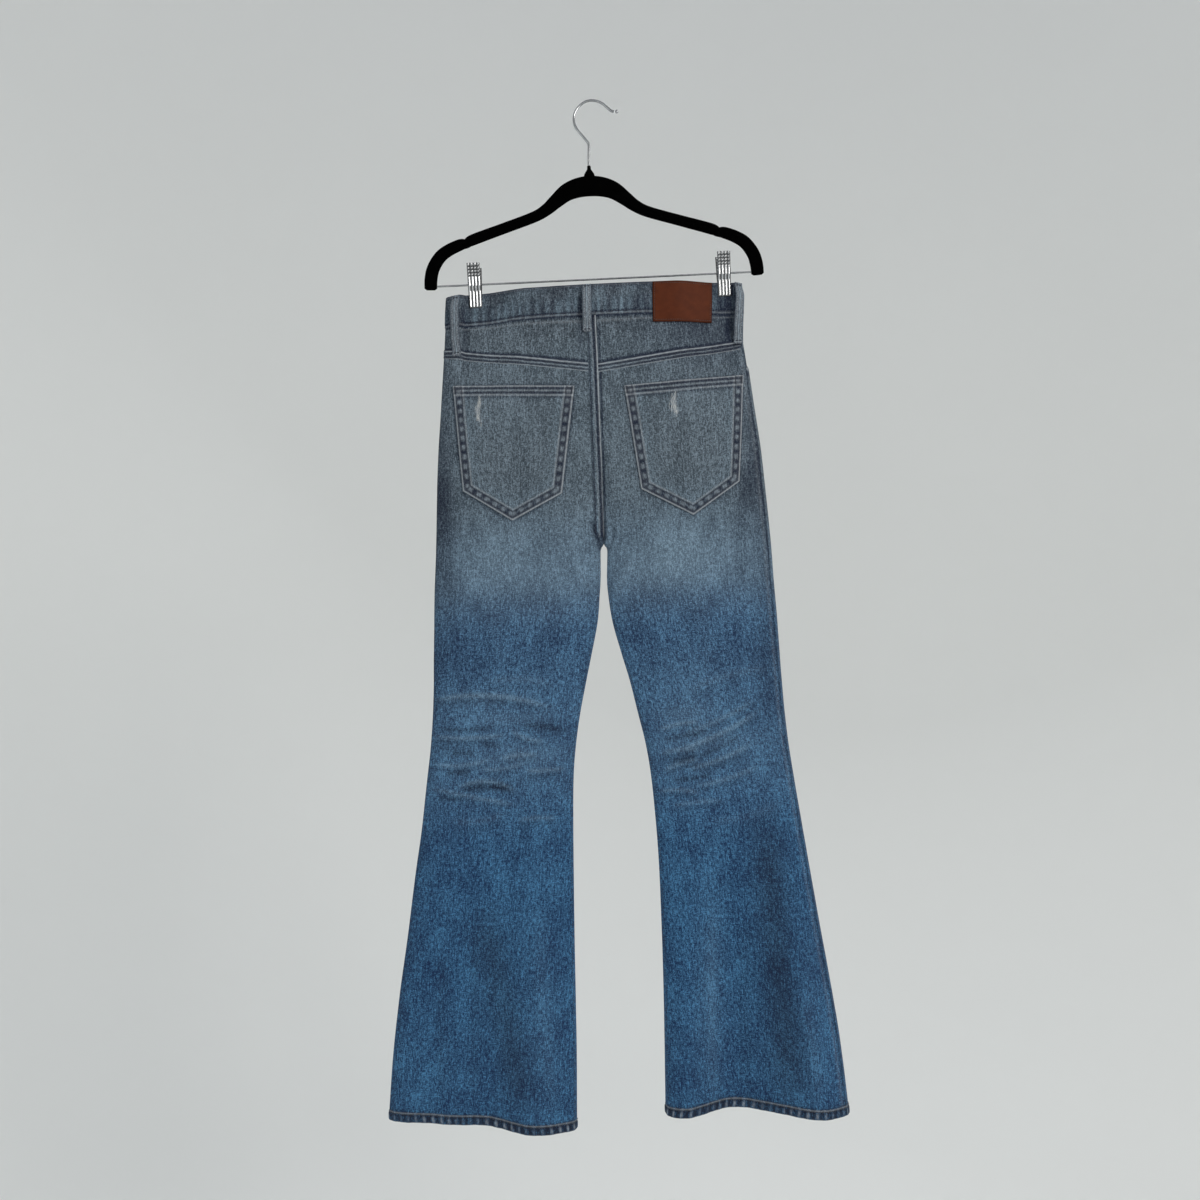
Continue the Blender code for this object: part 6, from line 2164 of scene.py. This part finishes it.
@dataclass
class Hanger:
    """The velvet body and collar, the hook, the rod and the two clips."""

    finishes: Finishes
    corners: int = 28
    squareness: float = 0.72
    plate: float = 1.1
    rib: float = 0.75
    rib_places: tuple[float, ...] = (-6.4, -2.1, 2.1, 6.4)
    half_plate: float = 8.5
    bump_pitch: float = 4.0
    coil_radius: float = 4.6
    coil_turns: float = 5.25
    coil_wire: float = 0.8

    def solid(self, name: str, x: Array, y: Array, z: Array, degrees: float = 50.0) -> Piece:
        """A velvet solid of rings in the hanger's frame."""
        return loft_piece(name, hanger_frame(np.stack([x, y, z], axis=-1)), self.finishes.velvet, degrees)

    def wire(self, name: str, path: Array, radius: Array, corners: int, degrees: float = 40.0) -> Piece:
        """A round chrome wire along a path."""
        return loft_piece(name, tube_rings(path, radius, corners), self.finishes.chrome, degrees)

    def body(self) -> Piece:
        """The body: rounded sections swept along both arms, with domed feet."""
        stations = [(-one.across, one.up, one.half_width) for one in ARM[:0:-1]]
        stations += [(one.across, one.up, one.half_width) for one in ARM]
        path = smooth_path(stations, 7)
        way = unit(np.gradient(path[:, :2], axis=0))
        across = np.stack([-way[:, 1], way[:, 0]], axis=1)
        reach = reach_along(path[:, :2])
        end = np.minimum(reach, reach[-1] - reach)
        dome = np.sqrt(np.clip(1.0 - (1.0 - np.clip(end / 2.2, 0.0, 1.0)) ** 2, 0.12, 1.0))
        wide, thick = (np.sign(one) * np.abs(one) ** self.squareness for one in circle(self.corners))
        half = (path[:, 2] * (0.5 + 0.5 * dome))[:, None]
        x = path[:, 0][:, None] + across[:, 0][:, None] * wide[None, :] * half
        z = path[:, 1][:, None] + across[:, 1][:, None] * wide[None, :] * half
        y = thick[None, :] * HANGER_HALF_THICK * dome[:, None]
        return self.solid("velvet_body", x, y, z)

    def collar(self) -> Piece:
        """The collar that carries the hook on the body."""
        profile = np.array(COLLAR_PROFILE)
        cosine, sine = circle(36)
        x, y = profile[:, :1] * cosine, profile[:, :1] * sine * 0.42
        return self.solid("velvet_collar", x, y, np.broadcast_to(profile[:, 1:], x.shape), 40.0)

    def hook(self) -> tuple[Piece, Piece]:
        """The hook's wire and the ball at its end."""
        route = smooth_path(HOOK_WIRE, 8)
        path = np.stack([route[:, 0], np.zeros(len(route)), route[:, 1]], axis=1)
        wire = self.wire("hook_wire", path, HOOK_RADIUS, 20)
        tip = path[-1] + (TIP_OFFSET[0], 0.0, TIP_OFFSET[1])
        angle = np.linspace(0.04, np.pi - 0.04, 15)
        spine = tip[None, :] - np.outer(np.cos(angle) * TIP_RADIUS, (1.0, 0.0, 0.06))
        return wire, self.wire("hook_ball", spine, np.sin(angle) * TIP_RADIUS, 24, 60.0)

    def rod(self) -> Piece:
        """The thin rod between the hanger's feet."""
        across = np.linspace(-ROD_HALF_LENGTH, ROD_HALF_LENGTH, 41)
        path = hanger_frame(np.stack([across, np.zeros(41), np.full(41, ROD_LEVEL)], axis=1))
        return self.wire("clip_rod", path, ROD_RADIUS, 16)

    def clip_plate(self, side: Side, layer: Layer) -> Piece:
        """One stamped plate of a clip: four ribs, broken into rows of bumps over the grip.

        Args:
            side: The clip's side.
            layer: Which face of the garment it holds.

        Returns:
            The piece.
        """
        sign = -1.0 if layer is Layer.BACK else 1.0
        table = np.array(JAW)
        up = np.linspace(table[0, 0], table[-1, 0], 120)[:, None]
        place = np.linspace(-self.half_plate, self.half_plate, 49)[None, :]
        off = np.interp(up, table[:, 0], table[:, 1])
        ribs = sum(bell(place - rib, 1.05) for rib in self.rib_places)
        bumps = 0.5 + 0.5 * np.cos((up - 11.0) * 2.0 * np.pi / self.bump_pitch)
        rows = mix(1.0, 1.55 * bumps, ease((up - 7.5) / 2.0) * ease((25.0 - up) / 1.5))
        rows = rows * ease((up - table[0, 0]) / 1.2)
        raised = self.rib * ribs * rows
        rolled = 0.7 * (1.0 - ease((self.half_plate - np.abs(place)) / 1.0))
        curl = 0.6 * (1.0 - ease((up - table[0, 0]) / 1.4))
        height = off + self.plate + raised - rolled * 0.8 - curl
        across = np.broadcast_to(CLIP_PLACE[side] + place, height.shape)
        level = np.broadcast_to(ROD_LEVEL + up, height.shape)
        points = hanger_frame(np.stack([across, sign * height, level], axis=-1))
        wash = np.zeros((*points.shape[:2], 4))
        # Painted shade and dark reflection everywhere but the ribs' crests, which stay bright
        shown = np.clip(1.15 * ribs * np.minimum(rows, 1.0) - 0.12, 0.0, 1.0)
        wash[..., DARK] = np.clip(1.0 - shown, 0.0, 0.94)
        outward = np.broadcast_to(np.array([0.0, sign, 0.0]), points.shape)
        name = f"clip_plate_{side.word}_{layer.word}"
        return cloth_piece(name, points, outward, CLIP_PLATE, wash, self.finishes.grooved_chrome, 60.0)

    def clip_spring(self, side: Side) -> Piece:
        """The spring of a clip, coiled round the rod, with a leg to each plate."""
        radius = self.coil_radius
        angle = np.linspace(0.0, 2.0 * np.pi * self.coil_turns, 170)
        across = CLIP_PLACE[side] + np.linspace(-radius, radius, 170)
        coil = np.stack([across, radius * np.sin(angle), ROD_LEVEL + radius * np.cos(angle)], axis=1)
        ways = unit(coil[[1, -1]] - coil[[0, -2]])
        legs = [coil[0] - ways[0] * 2.5, coil[-1] + ways[1] * 2.5]
        path = hanger_frame(np.concatenate([[legs[0]], coil, [legs[1]]]))
        return self.wire(f"clip_coil_{side.word}", path, self.coil_wire, 10, 60.0)

    def build(self) -> None:
        """Builds the hanger and hides the nodes that its pieces replace."""
        wire, ball = self.hook()
        pieces = {
            "hanger_body": (self.body(), "velvet"),
            "hanger_collar": (self.collar(), "velvet"),
            "hanger_hook": (wire, "chrome"),
            "hanger_hook_tip": (ball, "chrome"),
            "hanger_rod": (self.rod(), "chrome"),
        }
        for side in Side:
            pieces[f"clip_{side.word}_spring"] = (self.clip_spring(side), "chrome")
            for layer in Layer:
                pieces[f"clip_{side.word}_{layer.word}_plate"] = (self.clip_plate(side, layer), "chrome")
        for node, (piece, slot) in pieces.items():
            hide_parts(node)


@dataclass
class Studio:
    """The camera, the lights and the pale floor with its raised edge."""

    camera_place: Colour = (0.0039, -1.25, -0.652)
    lens: float = 28.6
    floor_level: float = -2.3
    floor_radius: float = 3.4
    rise: float = 5.2
    rounding: float = 1.5
    sky: Colour = (0.93, 0.96, 1.0)
    sky_strength: float = 0.6

    def camera(self) -> None:
        """Puts the camera where the photograph was taken from."""
        bpy.ops.object.camera_add(location=self.camera_place, rotation=(math.pi / 2.0, 0.0, 0.0))
        camera = bpy.context.object
        camera.name = "photo_camera"
        camera.data.lens = self.lens
        camera.data.sensor_width = 36.0
        camera.data.clip_start = 0.05
        bpy.context.scene.camera = camera

    def backdrop(self) -> Piece:
        """The round floor, curving up to a plain wall far behind the garment."""
        angle = np.linspace(0.0, 0.5 * np.pi, 14)
        flat = self.floor_radius - self.rounding
        profile = [(0.01, 0.0), (flat * 0.5, 0.0)]
        profile += [(flat + self.rounding * math.sin(a), self.rounding * (1.0 - math.cos(a))) for a in angle]
        profile += [(self.floor_radius, self.rise)]
        around = np.linspace(0.0, 2.0 * np.pi, 97)
        radius, level = (np.array(profile) + (0.0, self.floor_level)).T[..., None]
        x, y = radius * np.cos(around)[None, :], radius * np.sin(around)[None, :]
        points = np.stack([x, y, np.broadcast_to(level, x.shape)], axis=-1) / MM
        piece = grid_piece("studio_floor", points)
        inward = np.stack([-x * 0.3, -y * 0.3, np.ones_like(x)], axis=-1)
        face_outwards(piece, inward)
        piece.data.materials.append(StageFinish().make())
        piece.data.shade_smooth()
        return piece

    def light(self, name: str, place: Colour, size: float, power: float, colour: Colour) -> None:
        """Adds a soft square light that looks at the garment's middle."""
        bpy.ops.object.light_add(type="AREA", location=place)
        lamp = bpy.context.object
        lamp.name = name
        lamp.data.shape = "SQUARE"
        lamp.data.size = size
        lamp.data.energy = power
        lamp.data.color = colour
        way = Vector((0.0, 0.0, -0.7)) - Vector(place)
        lamp.rotation_euler = way.to_track_quat("-Z", "Y").to_euler()

    def build(self) -> None:
        """Sets up the whole stage."""
        deselect_all()
        self.camera()
        self.backdrop()
        self.light("key_light", (1.7, -2.0, 0.4), 1.2, 44.0, (1.0, 0.97, 0.93))
        self.light("fill_light", (-2.0, -1.7, -0.7), 1.8, 8.0, (0.90, 0.95, 1.0))
        self.light("back_light", (0.6, 2.2, 0.6), 1.8, 18.0, (0.97, 0.98, 1.0))
        world = bpy.data.worlds.new("studio_world")
        world.use_nodes = True
        background = world.node_tree.nodes["Background"]
        background.inputs[0].default_value = (*self.sky, 1.0)
        background.inputs[1].default_value = self.sky_strength
        scene = bpy.context.scene
        scene.world = world
        scene.view_settings.view_transform = "Standard"
        scene.view_settings.look = "None"


def main() -> None:
    """Builds the studio, the hanger and the jeans."""
    logging.basicConfig(level=logging.INFO, format="%(name)s: %(message)s")
    finishes = Finishes()
    Studio().build()
    Hanger(finishes).build()
    thread = Thread()
    Legs(finishes).build(thread)
    Seat(finishes).build(thread)
    Waistband(finishes).build(thread)
    for side in Side:
        PatchPocket(finishes, side).build(thread)
    Fly(finishes).build()


if __name__ == "__main__":
    main()
